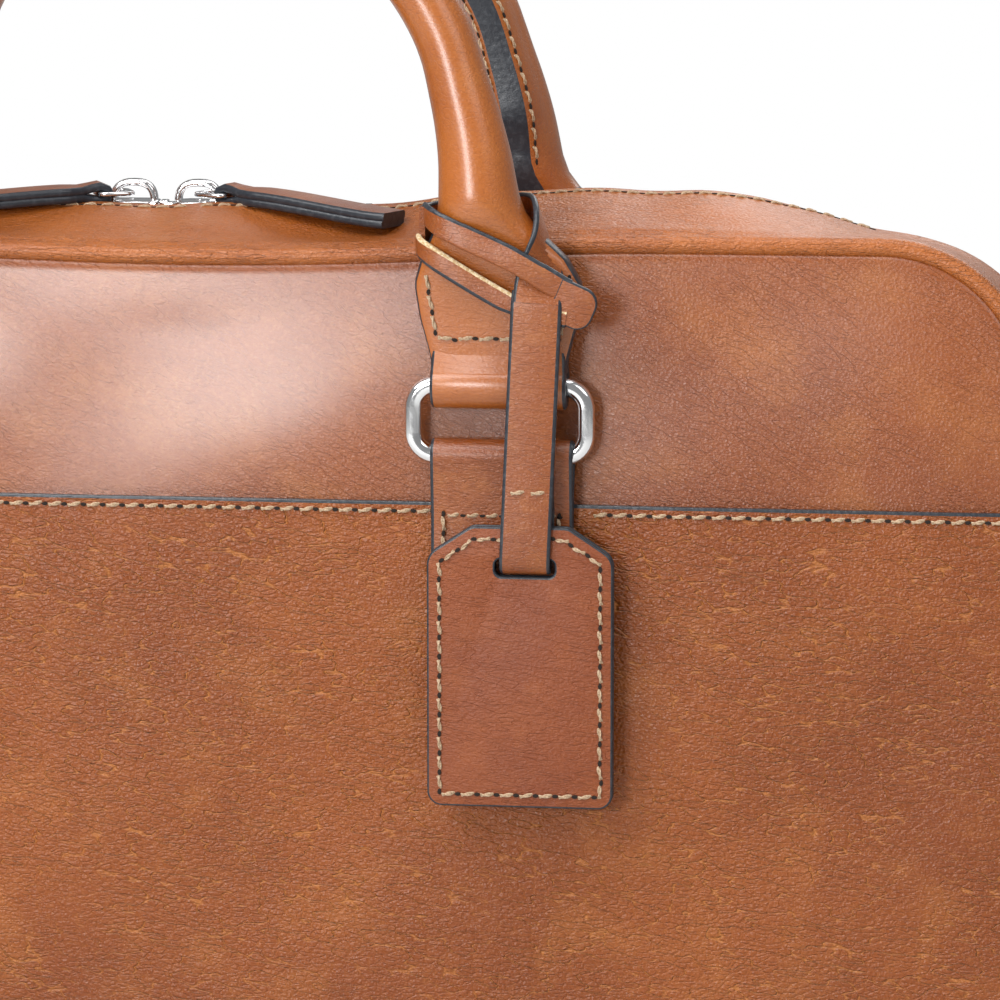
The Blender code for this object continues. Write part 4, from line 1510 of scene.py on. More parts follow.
@dataclass
class Shell:
    """Front and back panels, and the gusset that runs round between them."""

    form: BagForm
    finish: Finishes
    turn: float = 0.0026
    painted: float = 0.0007
    piping: float = 0.0009

    def levels(self, low: float, high: float) -> np.ndarray:
        """Heights of a panel's rows, close together at its edges and corners.

        Args:
            low: lowest height.
            high: highest height.

        Returns:
            The heights, lowest first.
        """
        form = self.form
        fine = np.array([0, 0.35, 0.75, 1.2, 1.8, 2.6, 3.6, 5.0, 7.0]) / 1000
        rows = list(np.arange(low + 0.0095, high - 0.0095, 0.0028))
        rows = list(low + fine) + rows + list(high - fine[::-1])
        corner = [form.seam - form.top_corner * (1 - sin(pi / 2 * k / 14)) for k in range(15)]
        rows += [z for z in corner if low < z < high - 0.006]
        corner = [form.base + form.base_corner * (1 - cos(pi / 2 * k / 12)) for k in range(1, 13)]
        rows += [z for z in corner if low + 0.006 < z < high]
        rows = sorted(set(np.round(rows, 6)))
        kept = [rows[0]]
        for z in rows[1:]:
            if z - kept[-1] > 0.00025:
                kept.append(z)
        kept[-1] = high
        return np.array(kept)

    def panel_points(self, side: int, low: float, high: float, off: float, inset: float = 0.0) -> np.ndarray:
        """Points of one panel's outer face.

        Args:
            side: -1 front, 1 back.
            low: lowest height.
            high: highest height.
            off: distance outside the panel face.
            inset: how far its outline is drawn in.

        Returns:
            rows x columns x 3.
        """
        form = self.form
        z = self.levels(max(low, form.base + inset), min(high, form.seam - inset))
        near = 1 - np.array([0, 0.3, 0.7, 1.2, 1.8, 2.6, 3.6, 5.0, 7.5]) / 203
        u = np.concatenate([np.linspace(0, near[-1], 66)[:-1], near[::-1]])
        u = np.concatenate([-u[::-1], u[1:]])
        z, u = np.meshgrid(z, u, indexing="ij")
        x = form.half_width(z, inset) * u
        inward = np.clip(self.turn - form.edge_distance(x, z) + inset, 0, self.turn)
        rolled = self.turn - np.sqrt(self.turn**2 - inward**2)
        y = form.face(x, z, side, off) - rolled
        return np.stack([x, side * y, z + form.drop(x, z, side * y)], -1)

    def panels(self) -> list[bpy.types.Object]:
        """The yoke, with the grained panel lapped over it, on both faces.

        Returns:
            Two yokes and two bodies.
        """
        form, made = self.form, []
        for side, word in WORD.items():
            out = lambda _, s=side: Vector((0, s, 0))
            yoke = self.panel_points(side, form.lap - 0.012, form.seam, 0.0)
            body = self.panel_points(side, form.base, form.lap, form.leather + form.lap_gap)
            top = hide_sheet(f"{word}_yoke", yoke, out, form.leather, self.finish.yoke, self.finish.yoke)
            low = hide_sheet(f"{word}_body", body, out, form.leather, self.finish.body, self.finish.paint)
            for face in low.data.polygons:
                if face.center.z > form.lap - self.painted:
                    face.material_index = 1
            for piece, node in ((top, "upper"), (low, "lower")):
                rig.ride(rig.replaces(piece, f"{word}_{node}_panel"), "bag")
            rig.slot(top, "tan_leather")
            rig.slot(low, "painted_edge_leather")
            made += [top, low]
        return made

    def outline(self) -> list[tuple[float, float, float, float, float]]:
        """Stations round the panels' outline: x, z, outward x and z, and the crown there.

        Returns:
            The stations, from one end of the zip round the base to the other.
        """
        form = self.form
        half, top, low = form.width / 2, form.seam - form.top_corner, form.base + form.base_corner
        past = (-0.003, 0.0, 0.0015)
        side = [(form.flap_half + extra, form.seam, 0.0, 1.0) for extra in past]
        for k in range(25):
            t = pi / 2 * k / 24
            x = half - form.top_corner * (1 - sin(t))
            side.append((x, top + form.top_corner * cos(t), sin(t), cos(t)))
        side += [(half, z, 1.0, 0.0) for z in np.linspace(top, low, 66)[1:-1]]
        for k in range(15):
            t = pi / 2 * k / 14
            x = half - form.base_corner * (1 - cos(t))
            side.append((x, low - form.base_corner * sin(t), cos(t), -sin(t)))
        reach = half - form.base_corner
        side += [(x, form.base, 0.0, -1.0) for x in np.linspace(reach, 0, 50)[1:]]
        left = [(-x, z, -ox, oz) for x, z, ox, oz in side[::-1]][1:]
        stations = []
        for x, z, ox, oz in side + left:
            crown = form.swell_top(x) * max(0.0, oz) + 0.0020 * abs(ox) * float(smoothstep(z, 0.03, 0.2))
            stations.append((x, z, ox, oz, crown))
        return stations

    def profile(self, half: float, crown: float, inner: float) -> list[tuple[float, float]]:
        """Half a gusset's cross-section: distance from the middle plane, and height off the outline.

        Args:
            half: distance of the seam from the middle plane.
            crown: rise at the middle.
            inner: where the section ends.

        Returns:
            The section's points, from the seam inwards.
        """
        radius, puff, turned = self.form.turned, self.piping, self.form.turned
        line = []
        for k in range(10):
            t = radians(-62 + 152 * k / 9)
            line.append((half + 0.0006 - radius + radius * cos(t), turned + puff - radius + radius * sin(t)))
        start = line[-1][0]
        for k in range(1, 17):
            y = start + (inner - start) * (k / 16)
            settle_down = puff * float(np.exp(-((start - y) / 0.0035)))
            rise = crown * (1 - min(1.0, abs(y) / half) ** self.form.arch)
            line.append((y, turned + settle_down + rise))
        return line

    def gusset(self) -> bpy.types.Object:
        """The leather that runs from one end of the zip down round the base to the other.

        Returns:
            The gusset.
        """
        form, rows = self.form, []
        for x, z, ox, oz, crown in self.outline():
            half = float(form.depth(min(z, form.seam)))
            front = self.profile(half, crown, 0.0)
            across = [(-y, o) for y, o in front] + [(y, o) for y, o in front[::-1]][1:]
            low = 0.0 if oz < -0.99 else 1.0
            lift = [oz * (o if low else min(o, form.turned)) for _, o in across]
            falls = form.drop(x, z, np.array([y for y, _ in across]))
            rows.append([(x + ox * o, y, max(0.0, z + up + f)) for (y, o), up, f in zip(across, lift, falls)])
        points = np.array(rows)
        outward = lambda c: Vector((c.x, 0, c.z - 0.14))
        keep = lambda c: c.z < 0.2 or abs(c.x) > form.flap_half
        leather = self.finish.gusset
        piece = hide_sheet("gusset", points, outward, form.leather, leather, leather, keep)
        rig.replaces(piece, "side_gusset_left", "side_gusset_right", "base_gusset")
        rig.slot(piece, "tan_leather")
        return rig.ride(piece, "bag")

    def build(self) -> list[bpy.types.Object]:
        """Makes the whole shell."""
        return [*self.panels(), self.gusset()]


@dataclass
class Inside:
    """Lining, boards, padded divider, its strap, and the organiser pocket."""

    form: BagForm
    finish: Finishes
    shell: Shell
    cloth: float = 0.0008

    def linings(self) -> list[bpy.types.Object]:
        """Cloth behind both panels and round the gusset.

        Returns:
            Three pieces of cloth.
        """
        form, lining, made = self.form, self.finish.lining, []
        for side, word in WORD.items():
            points = self.shell.panel_points(side, form.base, form.seam, -0.0041, 0.0026)[::2, ::2]
            points[..., 1] += side * -0.0006 * np.sin(points[..., 0] * 90 + points[..., 2] * 40)
            out = lambda _, s=side: Vector((0, s, 0))
            cloth = hide_sheet(f"{word}_inner_cloth", points, out, self.cloth, lining, lining)
            made.append(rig.ride(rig.replaces(cloth, f"{word}_lining"), "bag"))
        rows = []
        for x, z, ox, oz, crown in self.shell.outline():
            half = float(form.depth(min(z, form.seam))) - 0.0052
            y = np.linspace(-half, half, 9)
            fall = form.drop(x, z, y)
            off = -0.0033 + crown * (1 - (np.abs(y) / half) ** form.arch) * 0.8
            rows.append([(x + ox * o, v, z + oz * o + f) for v, o, f in zip(y, off, fall)])
        outward = lambda c: Vector((c.x, 0, c.z - 0.14))
        band = hide_sheet("gusset_cloth", np.array(rows), outward, self.cloth, lining, lining)
        made.append(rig.ride(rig.replaces(band, "gusset_lining"), "bag"))
        for piece in made:
            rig.slot(piece, "lining_cloth")
        return made

    def divider(self) -> list[bpy.types.Object]:
        """The foam partition: crowned, pinched at its bound edge, with its closing strap.

        Returns:
            The pad and its strap.
        """
        rows, columns, half_w, half_h = 44, 70, 0.175, 0.105
        low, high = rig.box("laptop_divider")
        middle, faces = (low + high) / 2, []
        for face in (-1, 1):
            u, v = np.meshgrid(np.linspace(-1, 1, columns), np.linspace(-1, 1, rows), indexing="xy")
            x, z = half_w * u, half_h * v
            squeeze = np.clip(1 - np.maximum(np.abs(u) ** 14, np.abs(v) ** 10), 0, 1) ** 0.35
            quilt = 0.0007 * np.cos(x * 2 * pi / 0.0583) ** 8
            y = face * (0.0006 + 0.0034 * squeeze - quilt * squeeze)
            corner = np.clip((np.abs(u) - 0.9) / 0.1, 0, 1) * np.clip((np.abs(v) - 0.83) / 0.17, 0, 1)
            x, z = x * (1 - 0.02 * corner), z * (1 - 0.035 * corner)
            points = np.stack([x, middle.y + y, z + middle.z], -1)
            faces.append(grid_mesh(points, lambda _, f=face: Vector((0, f, 0))))
        shape = bmesh.new()
        for mesh in faces:
            shape.from_mesh(mesh)
        rims = [edge for edge in shape.edges if edge.is_boundary]
        front = [edge for edge in rims if edge.verts[0].co.y <= middle.y]
        back = [edge for edge in rims if edge.verts[0].co.y > middle.y]
        bmesh.ops.bridge_loops(shape, edges=front + back)
        pad = shade(new_object("padded_divider", outward_mesh("divider", shape), [self.finish.lining]), 60)
        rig.replaces(pad, "laptop_divider")
        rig.slot(pad, "lining_cloth")
        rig.ride(pad, "bag")
        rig.padded(pad, fill=0.7)
        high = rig.box("laptop_strap")[1]
        line = smooth_path([(0, 0.0069, 0.152), (0, 0.0069, 0.200), (0, 0.0069, 0.219)], 6)[:-1]
        line += [Vector((0, *p)) for p in arc((0.0119, 0.2188), 0.0050, pi, pi / 2, 8)]
        line += [Vector((0, y, 0.2238)) for y in np.linspace(0.0135, high.y - 0.001, 8)]
        normals = [Vector((0, -1, 0))] * 12
        normals += [Vector((0, -cos(t), sin(t))) for t in np.linspace(0, pi / 2, 9)]
        normals += [Vector((0, 0, 1))] * 8
        path = [(p, n, 0.040) for p, n in zip(line, normals)]
        tape = self.finish.tape
        strap = Strip(0.0013).make("divider_strap", path, [self.finish.lining, tape, tape])
        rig.slot(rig.replaces(strap, "laptop_strap"), "lining_cloth")
        return [pad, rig.ride(strap, "bag")]

    def pocket(self) -> bpy.types.Object:
        """The flat pocket on the front lining, with a bound top edge that gapes a little.

        Returns:
            The pocket.
        """
        low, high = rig.box("organiser_pocket")
        columns, rows = np.linspace(low.x, high.x, 60), np.linspace(low.z, high.z, 30)
        x, z = np.meshgrid(columns, rows, indexing="xy")
        share = (z - low.z) / (high.z - low.z)
        gape = 0.0016 * np.sin(pi * (x - low.x) / (high.x - low.x)) * share**2
        y = high.y - 0.0010 + gape + 0.0004 * np.sin(70 * x + 30 * z)
        points = np.stack([x, y, z], -1)
        outward = lambda _: Vector((0, 1, 0))
        piece = hide_sheet("pocket", points, outward, 0.0010, self.finish.lining, self.finish.tape)
        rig.slot(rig.replaces(piece, "organiser_pocket"), "lining_cloth")
        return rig.ride(piece, "bag")

    def build(self) -> list[bpy.types.Object]:
        """Makes everything inside and dresses the boards, which stay as packed.

        Returns:
            Every piece but the boards.
        """
        for node in ("front_board", "back_board", "base_board"):
            dress(frame["nodes"][node], self.finish.board)
        return [*self.linings(), *self.divider(), self.pocket()]


@dataclass
class Mouth:
    """The zip's two halves: gusset leather, tape, teeth and the stitches beside them."""

    form: BagForm
    finish: Finishes
    shell: Shell
    sewing: Sewing
    tooth_pitch: float = 0.0042
    stitch_pitch: float = 0.0044
    hinge: float = 0.166
    free: float = 0.060

    def half(self, side: int, hand: int) -> list[bpy.types.Object]:
        """One quarter of the mouth, from the bag's middle to one end of the zip.

        Args:
            side: -1 front, 1 back.
            hand: -1 left, 1 right.

        Returns:
            Its pieces.
        """
        form, word = self.form, f"{WORD[side]}_{HAND[hand]}"
        xs = hand * np.array([-0.003, *np.linspace(0.0, form.flap_half, 56), form.flap_half + 0.003])
        rows, seam = [], float(form.depth(form.seam))
        for x in xs:
            line = self.shell.profile(seam, form.swell_top(x), form.mouth_edge(x))
            fall = form.seam + float(form.sag(x))
            row = []
            for y, o in line:
                z = fall + o + form.ruffle(x, side * y) + float(form.slump(x, side * y))
                row.append((x, side * y, z))
            rows.append(row)
        up = lambda _: Vector((0, 0, 1))
        keep = lambda c: 0 < c.x * hand < form.flap_half
        hide, weave = self.finish.gusset, self.finish.tape
        leather = hide_sheet(f"zip_leather_{word}", np.array(rows), up, form.leather, hide, hide, keep)
        across = np.linspace(0.0032, 0.016, 6)
        rows = [[(x, side * y, form.roof(x, y) - 0.0027) for y in across] for x in xs]
        tape = hide_sheet(f"zip_tape_{word}", np.array(rows), up, 0.0006, weave, weave, keep)
        row = Seam()
        fine = hand * np.linspace(0.001, form.flap_half - 0.001, 200)
        line = [(x, side * (form.mouth_edge(x) + 0.0026)) for x in fine]
        line = [Vector((x, y, form.roof(x, y))) for x, y in line]
        row.run(line, [Vector((0, 0, 1))] * len(line), self.stitch_pitch)
        return [leather, tape, self.sewing.sew(f"zip_seam_{word}", row, self.stitch_pitch)]

    def teeth(self, side: int, hand: int) -> bpy.types.Object:
        """A row of metal teeth on one quarter of the mouth.

        Args:
            side: -1 front, 1 back.
            hand: -1 left, 1 right.

        Returns:
            The row.
        """
        form = self.form
        row = Seam()
        count = int(0.148 / self.tooth_pitch)
        for k in range(count):
            x = hand * self.tooth_pitch * (k + 0.5 + 0.25 * side * hand)
            sunk = 0.0011 + 0.0020 * float(smoothstep(abs(x), 0.02, 0.06))
            place = Vector((x, side * 0.0021, form.roof(x, -0.007) - sunk))
            slope = (form.roof(x + 0.002, -0.007) - form.roof(x - 0.002, -0.007)) / 0.004
            row.spots.append((place, Vector((1, 0, slope)).normalized(), Vector((0, 0, 1))))
        block = [(-0.0009, -0.0018), (0.0009, -0.0018), (0.0009, 0.0018), (-0.0009, 0.0018)]
        nickel = self.finish.nickel
        shape = slab("tooth", [block], 0.0024, 0.0003, Matrix.Identity(4), [nickel])
        made = self.sewing.repeat.make(f"teeth_{WORD[side]}_{HAND[hand]}", row, shape, nickel)
        bpy.data.objects.remove(shape, do_unlink=True)
        return made

    def build(self) -> list[bpy.types.Object]:
        """Makes the four quarters. Each bends from the bag, at the zip's end, to its flap in the middle.

        Returns:
            All the pieces.
        """
        made = []
        for side, word in WORD.items():
            for hand in HAND:
                leather, tape, seam = self.half(side, hand)
                teeth = self.teeth(side, hand)
                nodes = {leather: "zip_gusset", tape: "zip_tape", teeth: "zip_teeth"}
                slots = {leather: "tan_leather", tape: "zip_tape", teeth: "polished_nickel"}
                for piece, node in nodes.items():
                    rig.replaces(piece, f"{word}_{node}")
                    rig.slot(piece, slots[piece])
                for piece in (leather, tape, seam, teeth):
                    end, start = (hand * self.free, 0, 0), (hand * self.hinge, 0, 0)
                    made.append(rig.blend(piece, "bag", f"{word}_flap", start=start, end=end))
        return made


@dataclass
class Pulls:
    """The two sliders, their links and the folded leather pulls."""

    finish: Finishes
    meet: float = -0.0085
    spacing: float = 0.0080
    yaw: float = radians(24)
    length: float = 0.047
    half_widths: tuple[tuple[float, ...], tuple[float, ...]] = (
        (0.0020, 0.0045, 0.0085, 0.0440, 0.0470),
        (0.0030, 0.0040, 0.0056, 0.0056, 0.0049),
    )

    def slider(self, hand: int) -> bpy.types.Object:
        """A slider's plates, post and D-shaped bridge.

        Args:
            hand: -1 left, 1 right.

        Returns:
            The slider.
        """
        low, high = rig.box(f"zip_slider_{HAND[hand]}")
        x, nickel = (low.x + high.x) / 2, [self.finish.nickel]
        top = high.z - 0.0051
        shield = [(-0.0058, -0.0034), (-0.0048, -0.0046), (0.0030, -0.0050), (0.0060, -0.0030)]
        shield = [(hand * -a, b) for a, b in shield + [(a, -b) for a, b in shield[::-1]]]
        plates = []
        for name, z in (("upper", top - 0.0006), ("lower", top - 0.0049)):
            plates.append(slab(name, [shield], 0.0011, 0.0004, Matrix.Translation((x, 0, z)), nickel))
        post = rounded_box(0.0026, 0.0012, 0.0005, 2)
        nose = Matrix.Translation((x - hand * 0.0036, 0, top - 0.0027))
        plates.append(slab("post", [post], 0.0040, 0.0002, nose, nickel))
        bow = []
        for k in range(17):
            t = pi * k / 16
            across = 0.0050 * squared(cos(t), 0.72)
            place = Vector((x + across, 0, top - 0.0004 + 0.0047 * sin(t) ** 0.80))
            out = Vector((cos(t), 0, max(0.05, sin(t))))
            bow.append((place, out.normalized(), 0.0034))
        plates.append(Strip(0.0017, 3).make("bridge", bow, nickel * 3))
        piece = joined(f"slider_{HAND[hand]}", plates)
        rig.slot(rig.replaces(piece, f"zip_slider_{HAND[hand]}"), "polished_nickel")
        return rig.ride(piece, f"{HAND[hand]}_slider")

    def frame(self, hand: int, distance: float) -> Matrix:
        """A frame on the pull's line: X along the pull and Z up.

        Args:
            hand: -1 left, 1 right.
            distance: distance of its origin from the slider's bridge.

        Returns:
            The frame.
        """
        along = Vector((hand * cos(self.yaw), -sin(self.yaw), 0))
        low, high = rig.box(f"pull_link_{HAND[hand]}")
        up = Vector((0, 0, 1))
        start = Vector((self.meet + hand * (self.spacing + 0.0012), 0, (low.z + high.z) / 2))
        turn = Matrix((along, up.cross(along), up)).transposed().to_4x4()
        return Matrix.Translation(start + along * distance) @ turn

    def link(self, hand: int) -> bpy.types.Object:
        """The flat wire link between the bridge and the leather.

        Args:
            hand: -1 left, 1 right.

        Returns:
            The link.
        """
        place = self.frame(hand, 0.0040)
        loop = rounded_box(0.0080, 0.0078, 0.0016, 4)
        path = [(place @ Vector((a, b, 0)), place.to_3x3() @ Vector((0, 0, 1)), 0.0015) for a, b in loop]
        piece = Strip(0.0012, 3).make(f"link_{HAND[hand]}", path, [self.finish.nickel] * 3, closed=True)
        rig.slot(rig.replaces(piece, f"pull_link_{HAND[hand]}"), "polished_nickel")
        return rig.ride(piece, f"{HAND[hand]}_link")

    def tab(self, hand: int) -> bpy.types.Object:
        """The leather pull: one strip folded round the link's end and glued to itself.

        Args:
            hand: -1 left, 1 right.

        Returns:
            The pull.
        """
        place = self.frame(hand, 0.0080)
        upper = [(s, 0.00084) for s in np.linspace(self.length, 0.0045, 22)]
        bend = [(0.0018, 0.0014), (-0.0002, 0.0018), (-0.0021, 0.0010), (-0.0026, 0.0), (-0.0021, -0.0010)]
        bend += [(-0.0002, -0.0018), (0.0018, -0.0014)]
        lower = [(s, -0.00084) for s in np.linspace(0.0045, self.length - 0.0004, 22)]
        flat = upper + bend + lower
        path = []
        for k, (s, h) in enumerate(flat):
            fall = -0.0034 * float(smoothstep(s, 0.004, 0.052)) * (1.0 if hand > 0 else 0.6)
            width = 2 * float(np.interp(s, *self.half_widths))
            before, after = flat[max(0, k - 1)], flat[min(len(flat) - 1, k + 1)]
            along = Vector((after[0] - before[0], 0, after[1] - before[1])).normalized()
            out = Vector((along.z, 0, -along.x))
            path.append((place @ Vector((s, 0, h + fall)), place.to_3x3() @ out, width))
        f = self.finish
        piece = Strip(0.0021, 3).make(f"pull_{HAND[hand]}", path, [f.strap, f.paint, f.paint])
        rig.slot(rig.replaces(piece, f"pull_tab_{HAND[hand]}"), "painted_edge_leather")
        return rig.ride(piece, f"{HAND[hand]}_pull")

    def build(self) -> list[bpy.types.Object]:
        """Makes both sides."""
        return [make(hand) for hand in HAND for make in (self.slider, self.link, self.tab)]


@dataclass
class Handles:
    """Rolled handles with flat folded ends, their rings, and the chapes that hold the rings."""

    form: BagForm
    finish: Finishes
    sewing: Sewing
    half: float = 0.0793
    top: float = 0.381
    bar: float = 0.2362
    ring_height: float = 0.0167
    ring_width: float = 0.0410
    wire: float = 0.0021
    fin: float = 0.0034
    fin_flat: float = 0.25
    fin_half_angle: float = radians(15)
    fin_flank_angle: float = radians(62)
    chape_shift: float = 0.0007
    chape_foot: float = 0.172
    chape_gap: float = 0.0006
    chape_row: float = 0.0138

    def plane(self) -> float:
        """Distance of the rings' plane from the middle plane."""
        return float(self.form.depth(self.bar)) + 0.0042

    def line(self, side: int) -> list[Vector]:
        """The roll's centre line from the left leg to the right one.

        Args:
            side: -1 front, 1 back.

        Returns:
            The line's points.
        """
        half, plane = self.half, self.plane()
        legs = [
            (half - 0.0048, 0.2955, 0.0),
            (half - 0.0062, 0.3080, 0.0004),
            (half - 0.0092, 0.3210, 0.0012),
            (half - 0.0145, 0.3370, 0.0026),
            (half - 0.0245, 0.3520, 0.0040),
            (half - 0.0400, 0.3670, 0.0053),
            (half - 0.0590, self.top - 0.0035, 0.0062),
        ]
        right = [(x, side * (plane - lean), z) for x, z, lean in legs]
        left = [(-x, y, z) for x, y, z in right]
        return smooth_path([*left, (0, side * (plane - 0.0065), self.top), *right[::-1]], 7)

    @staticmethod
    def roll_radius(z: float) -> float:
        """Radius of the roll, thicker down its legs."""
        return 0.0070 + 0.0027 * float(np.clip((0.330 - z) / 0.0345, 0, 1)) ** 1.3

    def end_section(self, z: float) -> tuple[float, float, float, float]:
        """Middle x, half width, half thickness and squareness of a handle's end at a height.

        Args:
            z: height.

        Returns:
            The four sizes, where a squareness of 1 is an oval.
        """
        half = self.half
        levels = [
            (0.2560, half, 0.0160, 0.0034, 0.30),
            (0.2600, half, 0.0163, 0.0033, 0.30),
            (0.2690, half, 0.0188, 0.0034, 0.32),
            (0.2770, half - 0.0002, 0.0199, 0.0040, 0.38),
            (0.2835, half - 0.0012, 0.0172, 0.0052, 0.60),
            (0.2900, half - 0.0032, 0.0122, 0.0074, 0.85),
            (0.2955, half - 0.0048, 0.0097, 0.0096, 1.0),
        ]
        table = np.array(levels)
        return tuple(float(np.interp(z, table[:, 0], table[:, k])) for k in range(1, 5))

    def front_of(self, x: float, z: float) -> float:
        """Distance of a handle end's outer face from the rings' plane at a place near the right leg.

        Args:
            x: distance right of the middle.
            z: height.

        Returns:
            The distance.
        """
        middle, wide, thick, power = self.end_section(z)
        share = min(0.999, abs(x - middle) / wide)
        return thick * (1 - share ** (2 / power)) ** (power / 2)

    def sections(self, side: int) -> list[tuple[list[Vector], float]]:
        """Cross-sections of the whole cover, from the left tab over the arch to the right one.

        Args:
            side: -1 front, 1 back.

        Returns:
            Loops of points, each with its height.
        """
        around, made = 48, []
        outward, plane = Vector((0, side, 0)), self.plane()

        for x_side in (-1, 1):
            stack = []
            for z in np.linspace(0.2560, 0.2940, 22):
                middle, wide, thick, power = self.end_section(float(z))
                centre = Vector((x_side * middle, side * plane, float(z)))
                loop, share = [], self.fin_flat * float(smoothstep(z, 0.280, 0.287))
                for k in range(around):
                    angle = 2 * pi * k / around
                    extra = self.fin_reach(wide, angle, share) - wide
                    a = wide * squared(sin(angle), power) + extra * sin(angle)
                    o = -thick * squared(cos(angle), power) - extra * cos(angle)
                    loop.append(centre + Vector((-x_side * side * a, 0, 0)) + outward * o)
                stack.append((loop, float(z)))
            if x_side > 0:
                return made + stack[::-1]
            made += stack
            line = self.line(side)
            for k in range(1, len(line) - 1):
                along = (line[k + 1] - line[k - 1]).normalized()
                out = (outward - along * outward.dot(along)).normalized()
                across = out.cross(along)
                share = self.fin_share(line[k].z)
                radius, loop = self.roll_radius(line[k].z), []
                for step in range(around):
                    angle = 2 * pi * step / around
                    reach = self.fin_reach(radius, angle, share)
                    loop.append(line[k] - out * reach * cos(angle) + across * reach * sin(angle))
                made.append((loop, line[k].z))
        return made

    def fin_share(self, z: float) -> float:
        """How much of the fin stands out at a height of the roll's legs."""
        return self.fin_flat + (1 - self.fin_flat) * float(smoothstep(z, 0.298, 0.312))

    def fin_reach(self, radius: float, angle: float, share: float) -> float:
        """Distance from the roll's centre to its skin, where angle 0 is the middle of the sewn fin.

        Args:
            radius: radius of the roll.
            angle: direction round the roll.
            share: how much of the fin there is, from 0 to 1.

        Returns:
            The distance.
        """
        away = min(angle % (2 * pi), -angle % (2 * pi))
        tip = (radius + self.fin) / max(0.5, cos(away)) if away < self.fin_half_angle else 0.0
        span = self.fin_flank_angle - self.fin_half_angle
        slope = float(np.clip((self.fin_flank_angle - away) / span, 0, 1)) ** 1.5
        flank = radius + (self.fin + 0.0003) * slope
        return radius + ((tip or flank) - radius) * share

    def cover(self, side: int) -> bpy.types.Object:
        """The leather of one handle, with its painted fin and flare edges.

        Args:
            side: -1 front, 1 back.

        Returns:
            The cover with its folds.
        """
        sections, shape = self.sections(side), bmesh.new()
        loops = [[shape.verts.new(p) for p in loop] for loop, _ in sections]
        heights, around = [z for _, z in sections], len(loops[0])

        def paint(row: int, k: int) -> int:
            """Material of a face: edge paint on the roll's fin and on the rims of its flat ends."""
            z, angle = (heights[row] + heights[row + 1]) / 2, (k + 0.5) * 360 / around
            fin = z > 0.282 and min(angle, 360 - angle) < 16
            rim = z < 0.2895 and min(abs(angle - 90), abs(angle - 270)) < 25
            return 1 if fin or rim else 0

        skin(shape, loops, paint)
        shape.faces.new(loops[0])
        shape.faces.new(loops[-1])
        mesh = outward_mesh("cover", shape)
        roll = shade(new_object("cover", mesh, [self.finish.roll, self.finish.paint]), 42)
        folds = [self.fold(side, x_side) for x_side in (-1, 1)]
        piece = joined(f"{WORD[side]}_handle", [roll, *folds])
        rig.slot(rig.replaces(piece, f"{WORD[side]}_handle_cover"), "painted_edge_leather")
        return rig.ride(piece, f"{WORD[side]}_handle")

    def fold(self, side: int, x_side: int) -> bpy.types.Object:
        """The end of the leather, folded round the ring's upper bar.

        Args:
            side: -1 front, 1 back.
            x_side: -1 left, 1 right.

        Returns:
            The fold.
        """
        x, y, z = x_side * self.half, side * self.plane(), self.bar + self.ring_height
        turns = np.linspace(-1.25 * pi, 0.25 * pi, 26)
        path = []
        for t in turns:
            out = Vector((0, side * cos(t), sin(t)))
            path.append((Vector((x, y, z)) + out * 0.0040, out, 0.0322))
        inwards, tail_z, tail_width = Vector((0, -side, 0)), z + 0.0080, 0.0316
        path.insert(0, (Vector((x, y - side * 0.0016, tail_z)), inwards, tail_width))
        path.append((Vector((x, y + side * 0.0016, tail_z)), -inwards, tail_width))
        f = self.finish
        return Strip(0.0031, 3).make("fold", path, [f.roll, f.paint, f.paint])

    def ring(self, side: int, x_side: int) -> bpy.types.Object:
        """One oblong ring, of a bar with flattened faces and soft corners.

        Args:
            side: -1 front, 1 back.
            x_side: -1 left, 1 right.

        Returns:
            The ring.
        """
        middle = Vector((x_side * self.half, side * self.plane(), self.bar + self.ring_height / 2))
        outline = rounded_box(self.ring_width, self.ring_height, 0.0054, 10)
        shape, count = bmesh.new(), len(outline)
        section, sides = [], 16
        for k in range(sides):
            t = 2 * pi * (k + 0.5) / sides
            section.append(tuple(self.wire * squared(c, 0.72) for c in (cos(t), sin(t))))
        loops = []
        for k, (x, z) in enumerate(outline):
            ahead, behind = outline[(k + 1) % count], outline[(k - 1) % count]
            along = Vector((ahead[0] - behind[0], 0, ahead[1] - behind[1])).normalized()
            out = Vector((-along.z, 0, along.x))
            place = middle + Vector((x, 0, z))
            loops.append([shape.verts.new(place + out * a + Vector((0, b, 0))) for a, b in section])
        skin(shape, loops, closed=True)
        name = f"{WORD[side]}_{HAND[x_side]}"
        piece = shade(new_object(f"ring_{name}", outward_mesh("ring", shape), [self.finish.nickel]), 60)
        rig.slot(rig.replaces(piece, f"handle_ring_{name}"), "polished_nickel")
        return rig.ride(piece, f"{WORD[side]}_rings")

    def chape_depths(self) -> tuple[float, float]:
        """Distances of the chapes' inner face from the middle plane, at their foot and at the lap.

        Returns:
            Both distances.
        """
        form = self.form
        on_top = form.leather + self.chape_gap
        return float(form.depth(form.taper_from)) + on_top, float(form.depth(form.lap)) + on_top

